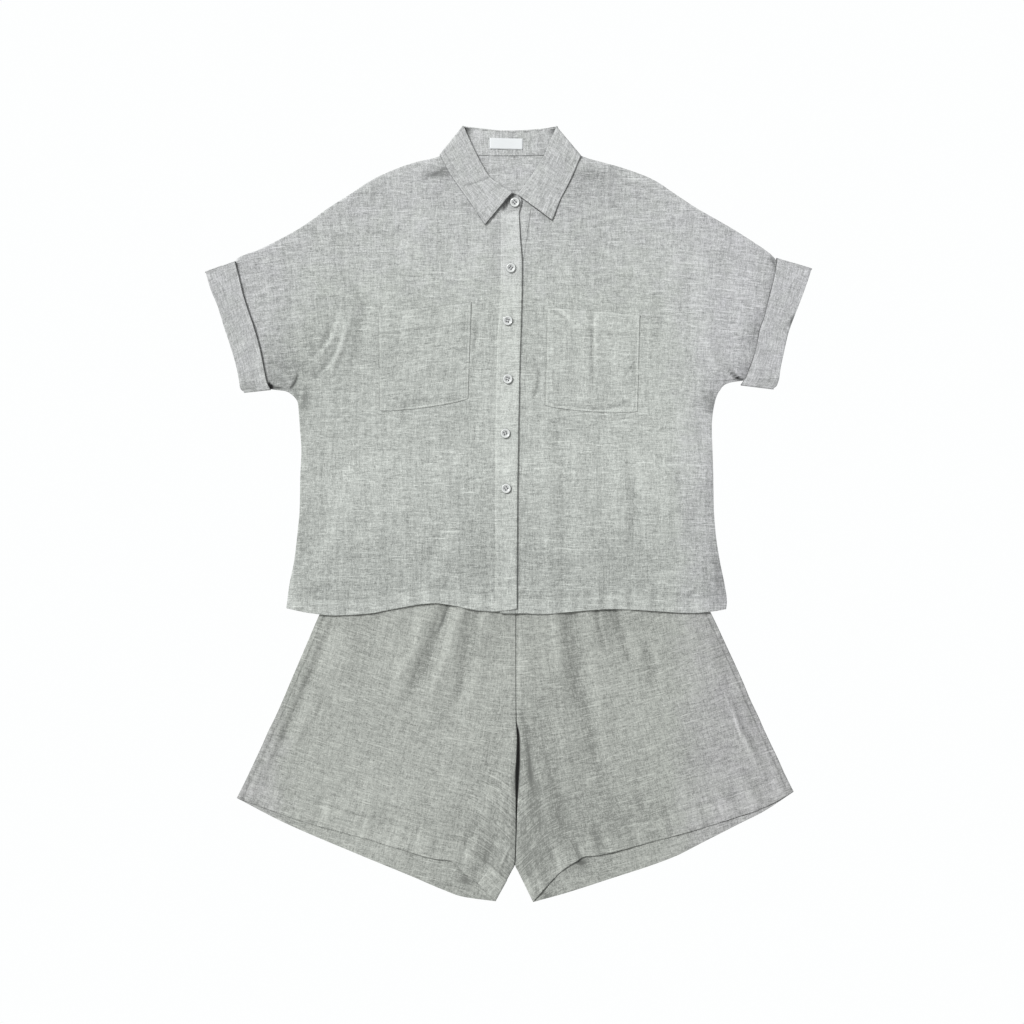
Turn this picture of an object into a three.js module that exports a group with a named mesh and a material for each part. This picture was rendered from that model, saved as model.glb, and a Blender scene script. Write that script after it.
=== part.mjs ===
// A shirt and wide-leg shorts set, laid flat, face up.
// Millimetres. +Y points to the collar, +Z is up, and z = 0 is the surface the set lies on.
// "Right" and "left" are the wearer's, so the right front lies at negative X.
import * as THREE from 'three';

// ---------------------------------------------------------------- driving sizes
const CLOTH = 1.0;              // one layer of cloth
const GAP = 0.3;                // between neighbouring pieces
const LEVEL = CLOTH + GAP;      // rise from one layer to the next
const CUFF_WALL = 1.5;          // a cuff is turned up, so its wall is thicker
const BAND_WALL = 2.2;          // waistband cloth, doubled over its elastic
const FRONT_COLUMNS = 9;        // cells across one shirt front
const CENTRE_COLUMNS = 3;       // cells across the placket
const LEG_COLUMNS = 8;          // cells across one leg
const DRAPE_FLAT = 30;          // the shirt stays level this far past what it covers
const DRAPE_RUN = 42;           // and comes down to the surface over this run

const LINEN = { color: 0xbcc0ba, roughness: 0.95, metalness: 0 };
const SHORTS_LINEN = { color: 0xadb0aa, roughness: 0.95, metalness: 0 };
const SHELL = { color: 0xd9dcd6, roughness: 0.35, metalness: 0 };
const RIBBON = { color: 0xe6e8e6, roughness: 0.7, metalness: 0 };

const garment = new THREE.Group();

// ---------------------------------------------------------------- shared working
const lerp = THREE.MathUtils.lerp;
const smooth = (x, from, to) => THREE.MathUtils.smoothstep(x, from, to);

// Value of one column of a table at a given height, straight between its rows.
function columnAt(table, column, y) {
  const below = table.findIndex((row) => row.y <= y);
  if (below === 0) return table[0][column];
  if (below === -1) return table[table.length - 1][column];
  const upper = table[below - 1];
  const lower = table[below];
  return lerp(lower[column], upper[column], (y - lower.y) / (upper.y - lower.y));
}

// Closed body between two matching grids of points: grid[row][column] = THREE.Vector3.
function bodyBetween(topGrid, bottomGrid, loop = false) {
  const rows = topGrid.length;
  const columns = topGrid[0].length;
  const positions = [...topGrid.flat(), ...bottomGrid.flat()].flatMap((p) => [p.x, p.y, p.z]);
  const top = (r, c) => (r % rows) * columns + c;
  const bottom = (r, c) => rows * columns + top(r, c);
  const faces = [];
  const quad = (a, b, c, d) => faces.push(a, b, c, a, c, d);
  const spans = loop ? rows : rows - 1;
  for (let r = 0; r < spans; r += 1) {
    for (let c = 0; c < columns - 1; c += 1) {
      quad(top(r, c), top(r, c + 1), top(r + 1, c + 1), top(r + 1, c));
      quad(bottom(r, c), bottom(r + 1, c), bottom(r + 1, c + 1), bottom(r, c + 1));
    }
    quad(top(r, 0), top(r + 1, 0), bottom(r + 1, 0), bottom(r, 0));
    quad(top(r, columns - 1), bottom(r, columns - 1), bottom(r + 1, columns - 1), top(r + 1, columns - 1));
  }
  if (!loop) {
    for (let c = 0; c < columns - 1; c += 1) {
      quad(top(0, c), bottom(0, c), bottom(0, c + 1), top(0, c + 1));
      quad(top(rows - 1, c), top(rows - 1, c + 1), bottom(rows - 1, c + 1), bottom(rows - 1, c));
    }
  }
  if (signedVolume(positions, faces) < 0) faces.reverse();
  const geometry = new THREE.BufferGeometry();
  geometry.setAttribute('position', new THREE.Float32BufferAttribute(positions, 3));
  geometry.setIndex(faces);
  geometry.computeVertexNormals();
  return geometry;
}

function signedVolume(positions, faces) {
  const corner = (i) => new THREE.Vector3().fromArray(positions, 3 * faces[i]);
  let six = 0;
  for (let i = 0; i < faces.length; i += 3) {
    six += corner(i).dot(corner(i + 1).cross(corner(i + 2)));
  }
  return six;
}

function addPiece(name, geometry, look) {
  const mesh = new THREE.Mesh(geometry, new THREE.MeshStandardMaterial(look));
  mesh.name = name;
  garment.add(mesh);
  return mesh;
}

// A sheet of cloth over a plan grid: underside at height(x, y), wall of the given thickness.
function layCloth(name, plan, height, look, wall = CLOTH) {
  const under = plan.map((row) => row.map(([x, y]) => new THREE.Vector3(x, y, height(x, y))));
  const over = under.map((row) => row.map((p) => new THREE.Vector3(p.x, p.y, p.z + wall)));
  return addPiece(name, bodyBetween(over, under), look);
}

// Soft rise of the cloth along one fold line, fading out at both its ends.
function foldRise(fold, x, y) {
  const run = new THREE.Vector2(fold.x2 - fold.x1, fold.y2 - fold.y1);
  const along = ((x - fold.x1) * run.x + (y - fold.y1) * run.y) / run.lengthSq();
  const aside = ((x - fold.x1) * run.y - (y - fold.y1) * run.x) / run.length();
  const fade = smooth(along, -0.15, 0.2) * (1 - smooth(along, 0.8, 1.15));
  return fold.rise * fade * Math.exp(-((aside / fold.width) ** 2));
}

const foldsRise = (folds, x, y) => folds.reduce((sum, fold) => sum + foldRise(fold, x, y), 0);

// ---------------------------------------------------------------- shorts
// The waist is straight and hidden under the shirt.
const WAIST = { right: -168, left: 187, top: 17, bottom: -14, centre: 9 };

// One row for each section from waist to hem: the side edge, then the inner edge.
const RIGHT_LEG = [
  { sideX: -168, sideY: -14.3, innerX: 8.8, innerY: -14.3 },
  { sideX: -196, sideY: -50, innerX: 8.8, innerY: -50 },
  { sideX: -222, sideY: -92, innerX: 8.8, innerY: -92 },
  { sideX: -241, sideY: -130, innerX: 8.8, innerY: -130 },
  { sideX: -256, sideY: -165, innerX: 8, innerY: -170 },
  { sideX: -277, sideY: -214, innerX: 9.8, innerY: -230 },
  { sideX: -297, sideY: -260, innerX: 8.8, innerY: -285 },
  { sideX: -312, sideY: -292, innerX: 8, innerY: -335 },
  { sideX: -325, sideY: -320, innerX: 7.2, innerY: -388 },
  { sideX: -336, sideY: -343, innerX: 6.8, innerY: -445 },
  { sideX: -345, sideY: -361, innerX: -17, innerY: -492 },
];
const LEFT_LEG = [
  { sideX: 187, sideY: -14.3, innerX: 9.2, innerY: -14.3 },
  { sideX: 213, sideY: -50, innerX: 9.2, innerY: -50 },
  { sideX: 239, sideY: -92, innerX: 9.2, innerY: -92 },
  { sideX: 259, sideY: -130, innerX: 9.2, innerY: -130 },
  { sideX: 275, sideY: -164, innerX: 8.4, innerY: -170 },
  { sideX: 297, sideY: -212, innerX: 10.2, innerY: -230 },
  { sideX: 317, sideY: -257, innerX: 9.8, innerY: -285 },
  { sideX: 331, sideY: -288, innerX: 9.4, innerY: -335 },
  { sideX: 343, sideY: -313, innerX: 9.2, innerY: -388 },
  { sideX: 352, sideY: -333, innerX: 9.2, innerY: -445 },
  { sideX: 362, sideY: -353, innerX: 32, innerY: -493 },
];

// Hem lines, from the side seam to the inner seam. The front hangs shorter than the back.
const RIGHT_FRONT_HEM = [
  { x: -345, y: -361 }, { x: -260, y: -391 }, { x: -184, y: -412 }, { x: -134, y: -427 },
  { x: -94, y: -437 }, { x: -74, y: -441 }, { x: -49, y: -463 }, { x: -17, y: -492 },
];
const RIGHT_BACK_HEM = [
  { x: -345, y: -361 }, { x: -285, y: -393 }, { x: -187, y: -435 }, { x: -119, y: -463 },
  { x: -59, y: -486 }, { x: -17, y: -492 },
];
const LEFT_FRONT_HEM = [
  { x: 362, y: -353 }, { x: 287, y: -388 }, { x: 222, y: -407 }, { x: 131, y: -430 },
  { x: 98, y: -436 }, { x: 66, y: -455 }, { x: 50, y: -471 }, { x: 32, y: -493 },
];
const LEFT_BACK_HEM = [
  { x: 362, y: -353 }, { x: 296, y: -392 }, { x: 209, y: -436 }, { x: 121, y: -466 },
  { x: 71, y: -482 }, { x: 32, y: -493 },
];

// The largest folds of the two leg fronts, down the leg from under the shirt's hem.
const LEG_FOLDS = [
  { x1: -98, y1: -150, x2: -150, y2: -255, width: 17, rise: 3.4 },
  { x1: -58, y1: -150, x2: -84, y2: -262, width: 14, rise: 2.6 },
  { x1: -205, y1: -185, x2: -262, y2: -330, width: 22, rise: 2.2 },
  { x1: -62, y1: -300, x2: -96, y2: -410, width: 24, rise: 2.4 },
  { x1: 62, y1: -150, x2: 120, y2: -330, width: 18, rise: 3.6 },
  { x1: 165, y1: -150, x2: 208, y2: -262, width: 16, rise: 2.8 },
  { x1: 282, y1: -225, x2: 320, y2: -330, width: 20, rise: 2.6 },
  { x1: 40, y1: -300, x2: 52, y2: -400, width: 15, rise: 2.4 },
];

// Point a given share of the way along a hem line, measured across in x.
function hemPoint(hem, share) {
  const x = lerp(hem[0].x, hem[hem.length - 1].x, share);
  const past = (p) => Math.abs(p.x - hem[0].x) >= Math.abs(x - hem[0].x) - 1e-9;
  const next = Math.max(1, hem.findIndex(past));
  const a = hem[next - 1];
  const b = hem[next];
  return [x, lerp(a.y, b.y, (x - a.x) / (b.x - a.x))];
}

// Plan grid of one leg panel: straight sections above, bending into the hem line below.
function legPlan(sections, hem) {
  const last = sections.length - 1;
  return sections.map((section, r) => {
    const bend = smooth(r, last - 4, last);
    return Array.from({ length: LEG_COLUMNS + 1 }, (_, c) => {
      const share = c / LEG_COLUMNS;
      const chordY = lerp(sections[last].sideY, sections[last].innerY, share);
      const x = lerp(section.sideX, section.innerX, share);
      const y = lerp(section.sideY, section.innerY, share);
      return [x, y + bend * (hemPoint(hem, share)[1] - chordY)];
    });
  });
}

// Leg fronts lift to the level of the waistband's upper wall at the top, and into their folds below.
const BAND_FRONT = BAND_WALL + 2 * GAP;
function legFrontHeight(x, y) {
  const toBand = smooth(y, -60, WAIST.bottom);
  const inFolds = smooth(-y, 135, 165);
  return LEVEL + toBand * (BAND_FRONT - LEVEL) + inFolds * foldsRise(LEG_FOLDS, x, y);
}

layCloth('shorts_back_right', legPlan(RIGHT_LEG, RIGHT_BACK_HEM), () => 0, SHORTS_LINEN);
layCloth('shorts_back_left', legPlan(LEFT_LEG, LEFT_BACK_HEM), () => 0, SHORTS_LINEN);
layCloth('shorts_front_right', legPlan(RIGHT_LEG, RIGHT_FRONT_HEM), legFrontHeight, SHORTS_LINEN);
layCloth('shorts_front_left', legPlan(LEFT_LEG, LEFT_FRONT_HEM), legFrontHeight, SHORTS_LINEN);

// ---------------------------------------------------------------- bands that fold flat
// A band is a row of stations; each joins edge a to edge b, with its outer and inner faces.
// Where the band lies uppermost its outer face is up; where it lies beneath, its outer face is down.
function upperStation(a, b, top, wall) {
  return { outer: [[...a, top], [...b, top]], inner: [[...a, top - wall], [...b, top - wall]] };
}

function lowerStation(a, b, bottom, wall) {
  return { outer: [[...a, bottom], [...b, bottom]], inner: [[...a, bottom + wall], [...b, bottom + wall]] };
}

// The turn of a band from its upper stretch to its lower one, as a half round about the line a-b.
function turnStations(a, b, bottom, top, wall, outward) {
  const middle = (bottom + top) / 2;
  const radius = (top - bottom) / 2;
  return [0.25, 0.5, 0.75].map((share) => {
    const angle = Math.PI * share;
    const at = (point, r) => [
      point[0] + outward[0] * r * Math.sin(angle),
      point[1] + outward[1] * r * Math.sin(angle),
      middle + r * Math.cos(angle),
    ];
    return {
      outer: [at(a, radius), at(b, radius)],
      inner: [at(a, radius - wall), at(b, radius - wall)],
    };
  });
}

function addBand(name, stations, look, loop = false) {
  const grid = (face) => stations.map((s) => s[face].map((p) => new THREE.Vector3(...p)));
  return addPiece(name, bodyBetween(grid('outer'), grid('inner'), loop), look);
}

// Waistband: one loop of doubled cloth and elastic, lying flat on itself.
const BAND_TOP = BAND_FRONT + BAND_WALL;
const bandEdges = (x) => [[x, WAIST.top], [x, WAIST.bottom]];
const bandCentres = [0.02, 0.25, 0.5, 0.75, 0.98].map((share) => lerp(WAIST.right, WAIST.left, share));
addBand('waistband', [
  ...bandCentres.map((x) => upperStation(...bandEdges(x), BAND_TOP, BAND_WALL)),
  ...turnStations(...bandEdges(bandCentres[4]), 0, BAND_TOP, BAND_WALL, [1, 0]),
  ...bandCentres.toReversed().map((x) => lowerStation(...bandEdges(x), 0, BAND_WALL)),
  ...turnStations(...bandEdges(bandCentres[0]), 0, BAND_TOP, BAND_WALL, [-1, 0]).toReversed(),
], SHORTS_LINEN, true);

// ---------------------------------------------------------------- shirt lattice
// Outer edges of the shirt, a row for each section: shoulder, sleeve end, underarm, side, hem.
const OUTLINE = [
  { y: 458, right: -79, left: 84 },
  { y: 452, right: -90, left: 96 },
  { y: 439, right: -140, left: 142 },
  { y: 424, right: -173, left: 183 },
  { y: 407, right: -199, left: 210 },
  { y: 386, right: -232, left: 242 },
  { y: 377, right: -244, left: 257 },
  { y: 362, right: -266, left: 284 },
  { y: 341, right: -305, left: 317 },
  { y: 323, right: -343, left: 338 },
  { y: 300, right: -341, left: 334 },
  { y: 270, right: -332, left: 327 },
  { y: 240, right: -322.5, left: 320 },
  { y: 205, right: -312.5, left: 311 },
  { y: 182, right: -308, left: 304 },
  { y: 168, right: -305.5, left: 297.5 },
  { y: 158, right: -301, left: 270 },
  { y: 152, right: -278, left: 266 },
  { y: 143, right: -269, left: 262 },
  { y: 110, right: -265, left: 258 },
  { y: 80, right: -263, left: 259 },
  { y: 45, right: -264, left: 260 },
  { y: 10, right: -265, left: 261 },
  { y: -25, right: -268, left: 262 },
  { y: -59, right: -273, left: 266 },
  { y: -90, right: -278, left: 272 },
  { y: -122, right: -282, left: 276 },
];
// Inner lines: neck seam down to the front, then the placket seam, its free edge, the stand's seam.
const CENTRE = [
  { y: 458, rightSeam: -66, freeEdge: -66, leftSeam: 69 },
  { y: 439, rightSeam: -60, freeEdge: -60, leftSeam: 64 },
  { y: 424, rightSeam: -52, freeEdge: -52, leftSeam: 58 },
  { y: 407, rightSeam: -41, freeEdge: -41, leftSeam: 49 },
  { y: 386, rightSeam: -20, freeEdge: 14, leftSeam: 32 },
  { y: 377, rightSeam: -10, freeEdge: 14, leftSeam: 26 },
  { y: 300, rightSeam: -10, freeEdge: 18, leftSeam: 19 },
  { y: 205, rightSeam: -15, freeEdge: 16, leftSeam: 16 },
  { y: 80, rightSeam: -17, freeEdge: 13, leftSeam: 14 },
  { y: -122, rightSeam: -18, freeEdge: 11, leftSeam: 12 },
];
const NECK_FRONT = 377;         // the placket starts at this height
const BACK_NECK_DIP = 4;        // the back neck seam dips this much at its middle

// The front hem waves a little: offsets from its level.
const HEM_WAVE = [
  { x: -282, drop: -3 }, { x: -222, drop: 7 }, { x: -151, drop: 0 }, { x: -95, drop: -9 },
  { x: -20, drop: 2 }, { x: 40, drop: 4 }, { x: 131, drop: -1 }, { x: 232, drop: 3 },
  { x: 276, drop: -2 },
];

function hemDrop(x) {
  const next = Math.max(1, HEM_WAVE.findIndex((p) => p.x >= x));
  const [a, b] = [HEM_WAVE[next - 1], HEM_WAVE[next]];
  return lerp(a.drop, b.drop, (x - a.x) / (b.x - a.x));
}

// Width of the shorts under the shirt.
const HIP = [
  { y: WAIST.bottom, right: -168, left: 187 },
  { y: -92, right: -222, left: 239 },
  { y: -130, right: -241, left: 259 },
];

// Height of the shirt's underside: over the shorts, their waistband, and the collar leaf at the neck.
function outside(x, y, box) {
  const dx = Math.max(box.x1 - x, x - box.x2, 0);
  const dy = Math.max(box.y1 - y, y - box.y2, 0);
  return Math.hypot(dx, dy);
}

function underShirt(x, y) {
  const cover = (box, level) => level * (1 - smooth(outside(x, y, box), DRAPE_FLAT, DRAPE_FLAT + DRAPE_RUN));
  const hip = { x1: columnAt(HIP, 'right', y), x2: columnAt(HIP, 'left', y), y1: -600, y2: WAIST.top };
  const band = { x1: WAIST.right, x2: WAIST.left, y1: WAIST.bottom, y2: WAIST.top };
  const leaf = { x1: -88, x2: 95, y1: 436, y2: 500 };
  const shorts = 2 * LEVEL;
  return cover(hip, shorts) + cover(band, BAND_TOP + GAP - shorts) + cover(leaf, LEVEL);
}

// Largest folds of the shirt fronts: at the underarms, down the sides and above the hem.
const SHIRT_FOLDS = [
  { x1: -204, y1: 240, x2: -228, y2: 176, width: 15, rise: 3.2 },
  { x1: -236, y1: 300, x2: -262, y2: 176, width: 14, rise: 2.4 },
  { x1: -95, y1: 92, x2: -78, y2: 10, width: 16, rise: 2.2 },
  { x1: -215, y1: 20, x2: -238, y2: -60, width: 18, rise: 2.2 },
  { x1: -84, y1: -10, x2: -102, y2: -85, width: 15, rise: 2.4 },
  { x1: 228, y1: 320, x2: 219, y2: 215, width: 14, rise: 2.6 },
  { x1: 128, y1: 92, x2: 158, y2: -60, width: 17, rise: 3.2 },
  { x1: 62, y1: 105, x2: 68, y2: -80, width: 17, rise: 2.2 },
  { x1: 212, y1: 96, x2: 214, y2: 10, width: 14, rise: 2.0 },
];

// One row of the lattice between two edges, waved near the hem.
function latticeRow(y, fromX, toX, columns) {
  const wave = smooth(-y, 40, 122);
  return Array.from({ length: columns + 1 }, (_, c) => {
    const x = lerp(fromX, toX, c / columns);
    return [x, y - wave * hemDrop(x)];
  });
}

const inset = GAP / 2;
const rightRow = ({ y, right }) => latticeRow(y, right, columnAt(CENTRE, 'rightSeam', y) - inset, FRONT_COLUMNS);
const leftRow = ({ y, left }) => latticeRow(y, columnAt(CENTRE, 'leftSeam', y) + inset, left, FRONT_COLUMNS);
const centreRow = ({ y }) => latticeRow(
  y, columnAt(CENTRE, 'rightSeam', y) + inset, columnAt(CENTRE, 'leftSeam', y) - inset, CENTRE_COLUMNS);
const placketRow = ({ y }) => latticeRow(
  y, columnAt(CENTRE, 'rightSeam', y) + inset, columnAt(CENTRE, 'freeEdge', y), CENTRE_COLUMNS);

// The back takes the points of both fronts and of the button stand, moved down one layer.
const backPlan = OUTLINE.map((row, r) => {
  const dip = r === 0 ? BACK_NECK_DIP : 0;
  const middle = centreRow(row).map(([x, y]) => [x, y - dip]);
  return [...rightRow(row), ...middle, ...leftRow(row)];
});
const frontHeight = (x, y) => underShirt(x, y) + LEVEL + foldsRise(SHIRT_FOLDS, x, y);
const standHeight = (x, y) => underShirt(x, y) + LEVEL;
const overHeight = (x, y) => underShirt(x, y) + 2 * LEVEL;
const belowNeck = OUTLINE.filter((row) => row.y <= NECK_FRONT);

layCloth('shirt_back', backPlan, underShirt, LINEN);
layCloth('shirt_front_right', OUTLINE.map(rightRow), frontHeight, LINEN);
layCloth('shirt_front_left', OUTLINE.map(leftRow), frontHeight, LINEN);
layCloth('button_stand', belowNeck.map(centreRow), standHeight, LINEN);
layCloth('placket', belowNeck.map(placketRow), overHeight, LINEN);

// ---------------------------------------------------------------- pockets
// Four corners each, from the mouth's side end round to its inner end.
const POCKETS = {
  pocket_right: [[-165, 253], [-47, 268], [-51, 146], [-164, 130]],
  pocket_left: [[49, 261], [167, 252], [164, 129], [46, 137]],
};
const POCKET_CELLS = 5;
for (const [name, [a, b, c, d]] of Object.entries(POCKETS)) {
  const plan = Array.from({ length: POCKET_CELLS + 1 }, (_, r) => {
    const down = r / POCKET_CELLS;
    return Array.from({ length: POCKET_CELLS + 1 }, (__, k) => {
      const across = k / POCKET_CELLS;
      const mouth = [lerp(a[0], b[0], across), lerp(a[1], b[1], across)];
      const base = [lerp(d[0], c[0], across), lerp(d[1], c[1], across)];
      return [lerp(mouth[0], base[0], down), lerp(mouth[1], base[1], down)];
    });
  });
  layCloth(name, plan, overHeight, LINEN);
}

// ---------------------------------------------------------------- collar
// Stations of the stand, from its buttonhole end at the right round the back to its button end.
// seam is on the neck line, top is under the leaf's roll; level counts layers above the underside.
const STAND_RIGHT = [
  { seam: [15, 381], top: [17, 398], level: 2 },
  { seam: [4, 378.5], top: [8, 405], level: 2 },
  { seam: [-10, 378.5], top: [-7, 411], level: 2 },
  { seam: [-27, 392], top: [-21, 426], level: 2 },
  { seam: [-44, 411], top: [-33, 440], level: 2 },
  { seam: [-56, 432], top: [-43, 458], level: 2 },
];
const STAND_BACK = [
  { seam: [-66, 460], top: [-56, 486] },
  { seam: [-40, 455], top: [-38, 485] },
  { seam: [2, 454.4], top: [3, 484] },
  { seam: [45, 455], top: [40, 485] },
  { seam: [69, 460], top: [60, 487] },
];
const STAND_LEFT = [
  { seam: [62, 434], top: [49, 458], level: 1 },
  { seam: [51, 412], top: [38, 438], level: 1 },
  { seam: [35, 392], top: [25, 421], level: 1 },
  { seam: [23, 380], top: [9, 405], level: 1 },
  { seam: [2, 378.5], top: [-3, 398], level: 1 },
];
const neckUnder = (x, y) => underShirt(x, y);
const standTop = ({ seam, top, level }) => upperStation(
  seam, top, neckUnder(...top) + level * LEVEL + CLOTH, CLOTH);
const standUnder = ({ seam, top }) => lowerStation(seam, top, LEVEL, CLOTH);
const standEnds = [STAND_BACK[0], STAND_BACK[STAND_BACK.length - 1]];
const RIGHT_TURN = [-0.96, 0.28];
const LEFT_TURN = [0.96, 0.28];
const rightStandTop = neckUnder(...standEnds[0].top) + 2 * LEVEL + CLOTH;
const leftStandTop = neckUnder(...standEnds[1].top) + LEVEL + CLOTH;
addBand('collar_stand', [
  ...STAND_RIGHT.map(standTop),
  upperStation(standEnds[0].seam, standEnds[0].top, rightStandTop, CLOTH),
  ...turnStations(standEnds[0].seam, standEnds[0].top, LEVEL, rightStandTop, CLOTH, RIGHT_TURN),
  ...STAND_BACK.map(standUnder),
  ...turnStations(standEnds[1].seam, standEnds[1].top, LEVEL, leftStandTop, CLOTH, LEFT_TURN).toReversed(),
  upperStation(standEnds[1].seam, standEnds[1].top, leftStandTop, CLOTH),
  ...STAND_LEFT.map(standTop),
], LINEN);

// Stations of the leaf, from the right point's front edge round the back to the left point's.
const LEAF_RIGHT = [
  { roll: [4, 407], edge: [-30, 366] },
  { roll: [-9, 416], edge: [-48, 393] },
  { roll: [-24, 428], edge: [-64, 416] },
  { roll: [-33, 442], edge: [-75, 431] },
  { roll: [-46, 468], edge: [-82, 446] },
];
const LEAF_BACK = [
  { roll: [-57, 490], edge: [-86, 454] },
  { roll: [-30, 489], edge: [-34, 440] },
  { roll: [3, 488], edge: [3, 437] },
  { roll: [36, 489], edge: [41, 440] },
  { roll: [62, 491], edge: [93, 454] },
];
const LEAF_LEFT = [
  { roll: [52, 472], edge: [89, 444] },
  { roll: [45, 454], edge: [84, 430] },
  { roll: [33, 435], edge: [74, 412] },
  { roll: [22, 419], edge: [65, 392] },
  { roll: [13, 407], edge: [56, 371] },
];
const leafTop = 4 * LEVEL + CLOTH;
const leafEnds = [LEAF_BACK[0], LEAF_BACK[LEAF_BACK.length - 1]];
const leafOver = ({ roll, edge }) => upperStation(roll, edge, leafTop, CLOTH);
const leafUnder = ({ roll, edge }) => lowerStation(roll, edge, 0, CLOTH);
addBand('collar_leaf', [
  ...LEAF_RIGHT.map(leafOver),
  leafOver(leafEnds[0]),
  ...turnStations(leafEnds[0].roll, leafEnds[0].edge, 0, leafTop, CLOTH, [-0.79, 0.61]),
  ...LEAF_BACK.map(leafUnder),
  ...turnStations(leafEnds[1].roll, leafEnds[1].edge, 0, leafTop, CLOTH, [0.79, 0.61]).toReversed(),
  leafOver(leafEnds[1]),
  ...LEAF_LEFT.map(leafOver),
], LINEN);

// ---------------------------------------------------------------- cuffs
// Stations down the sleeve's end: seam is where the cuff meets the sleeve, edge is its open end.
const CUFFS = {
  cuff_right: {
    top: [-0.34, 0.94],
    bottom: [0.05, -1],
    stations: [
      { seam: [-346, 319], edge: [-384, 305] },
      { seam: [-336, 280], edge: [-369, 262] },
      { seam: [-323.5, 239], edge: [-355, 217] },
      { seam: [-313.5, 203], edge: [-346, 186] },
      { seam: [-304, 160], edge: [-339, 156] },
    ],
  },
  cuff_left: {
    top: [0.3, 0.95],
    bottom: [-0.1, -1],
    stations: [
      { seam: [341, 322], edge: [384, 309] },
      { seam: [330, 280], edge: [370, 268] },
      { seam: [321, 240], edge: [357, 234] },
      { seam: [311.5, 203], edge: [349, 204] },
      { seam: [299, 168], edge: [339, 162] },
    ],
  },
};
const CUFF_TOP = 2 * CUFF_WALL + 2 * GAP;
for (const [name, { top, bottom, stations }] of Object.entries(CUFFS)) {
  const upper = ({ seam, edge }) => upperStation(seam, edge, CUFF_TOP, CUFF_WALL);
  const lower = ({ seam, edge }) => lowerStation(seam, edge, 0, CUFF_WALL);
  const turn = (station, outward) => turnStations(
    station.seam, station.edge, 0, CUFF_TOP, CUFF_WALL, outward);
  addBand(name, [
    ...stations.map(upper),
    ...turn(stations[stations.length - 1], bottom),
    ...stations.toReversed().map(lower),
    ...turn(stations[0], top).toReversed(),
  ], LINEN, true);
}

// ---------------------------------------------------------------- neck label, left plain
const LABEL = { x1: -24, x2: 18, y1: 463, y2: 477, wall: 0.4 };
const labelPlan = [LABEL.y2, LABEL.y1].map((y) => [[LABEL.x1, y], [LABEL.x2, y]]);
layCloth('neck_label', labelPlan, () => 2 * LEVEL, RIBBON, LABEL.wall);

// ---------------------------------------------------------------- buttons
const BUTTON = { radius: 6.35, thickness: 2.2, hole: 0.85, holeAt: 1.5, bevel: 0.5 };
const BUTTONS = [
  { name: 'button_collar', x: 8, y: 395 },
  { name: 'button_1', x: 3, y: 312 },
  { name: 'button_2', x: -1, y: 245 },
  { name: 'button_3', x: -1, y: 171 },
  { name: 'button_4', x: -4, y: 102 },
  { name: 'button_5', x: -3, y: 32 },
];
for (const { name, x, y } of BUTTONS) {
  const disc = new THREE.Shape().absarc(0, 0, BUTTON.radius - BUTTON.bevel, 0, 2 * Math.PI);
  for (const [sx, sy] of [[1, 1], [-1, 1], [-1, -1], [1, -1]]) {
    disc.holes.push(new THREE.Path().absarc(
      sx * BUTTON.holeAt, sy * BUTTON.holeAt, BUTTON.hole, 0, 2 * Math.PI, true));
  }
  const geometry = new THREE.ExtrudeGeometry(disc, {
    depth: BUTTON.thickness - BUTTON.bevel,
    bevelEnabled: true,
    bevelThickness: BUTTON.bevel,
    bevelSize: 0,
    bevelSegments: 1,
    curveSegments: 5,
  });
  const button = addPiece(name, geometry, SHELL);
  button.position.set(x, y, overHeight(x, y) + LEVEL + BUTTON.bevel);
}

export default garment;
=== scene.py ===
import bmesh
import bpy
import numpy as np
from mathutils import Matrix, Vector
from mathutils.bvhtree import BVHTree


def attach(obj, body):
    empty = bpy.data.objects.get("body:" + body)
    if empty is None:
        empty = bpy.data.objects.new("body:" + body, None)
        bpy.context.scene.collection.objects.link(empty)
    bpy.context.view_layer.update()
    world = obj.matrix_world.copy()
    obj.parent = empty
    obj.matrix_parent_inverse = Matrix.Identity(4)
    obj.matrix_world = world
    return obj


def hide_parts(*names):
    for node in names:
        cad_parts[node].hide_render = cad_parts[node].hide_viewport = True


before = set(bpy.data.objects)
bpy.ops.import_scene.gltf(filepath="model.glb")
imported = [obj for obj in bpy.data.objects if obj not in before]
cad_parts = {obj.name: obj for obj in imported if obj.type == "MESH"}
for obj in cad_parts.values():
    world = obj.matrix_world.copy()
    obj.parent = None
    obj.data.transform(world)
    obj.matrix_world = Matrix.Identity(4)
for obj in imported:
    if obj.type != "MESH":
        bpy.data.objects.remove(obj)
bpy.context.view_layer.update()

mm = 0.001

# ---------------------------------------------------------------- table, light and camera
# The set lies face up on a glowing white table, so no shadow shows round it, under one soft lamp at its upper
# left and an even white room. The camera hangs straight above it. None of this is part of the garments.
TABLE_REACH = 30.0         # half the table's width: its edges stay out of sight
TABLE_DROP = 0.3 * mm      # how far the table lies below the set
TABLE_GLOW, ROOM_GLOW = 0.995, 0.47
LAMP_FROM = Vector((-0.52, 0.43, 0.74))
LAMP_POWER, LAMP_SPREAD = 3.05, np.radians(20)
VIEW_WIDTH, VIEW_DEPTH = 1300.5 * mm, 20
VIEW_CENTRE = (4.4 * mm, 2.2 * mm)
CAMERA_HEIGHT = 4.0


def put_in(name, data):
    """A new object of the scene, made of this mesh, lamp or camera."""
    thing = bpy.data.objects.new(name, data)
    bpy.context.collection.objects.link(thing)
    return thing


def mesh_of(name, shape):
    """A mesh from a finished bmesh, which is then let go."""
    mesh = bpy.data.meshes.new(name)
    shape.to_mesh(mesh)
    shape.free()
    return mesh


def surfaced(name, **settings):
    """A new material, with these settings of its shader."""
    material = bpy.data.materials.new(name)
    material.use_nodes = True
    for title, value in settings.items():
        material.node_tree.nodes["Principled BSDF"].inputs[title.replace("_", " ")].default_value = value
    return material


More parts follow.
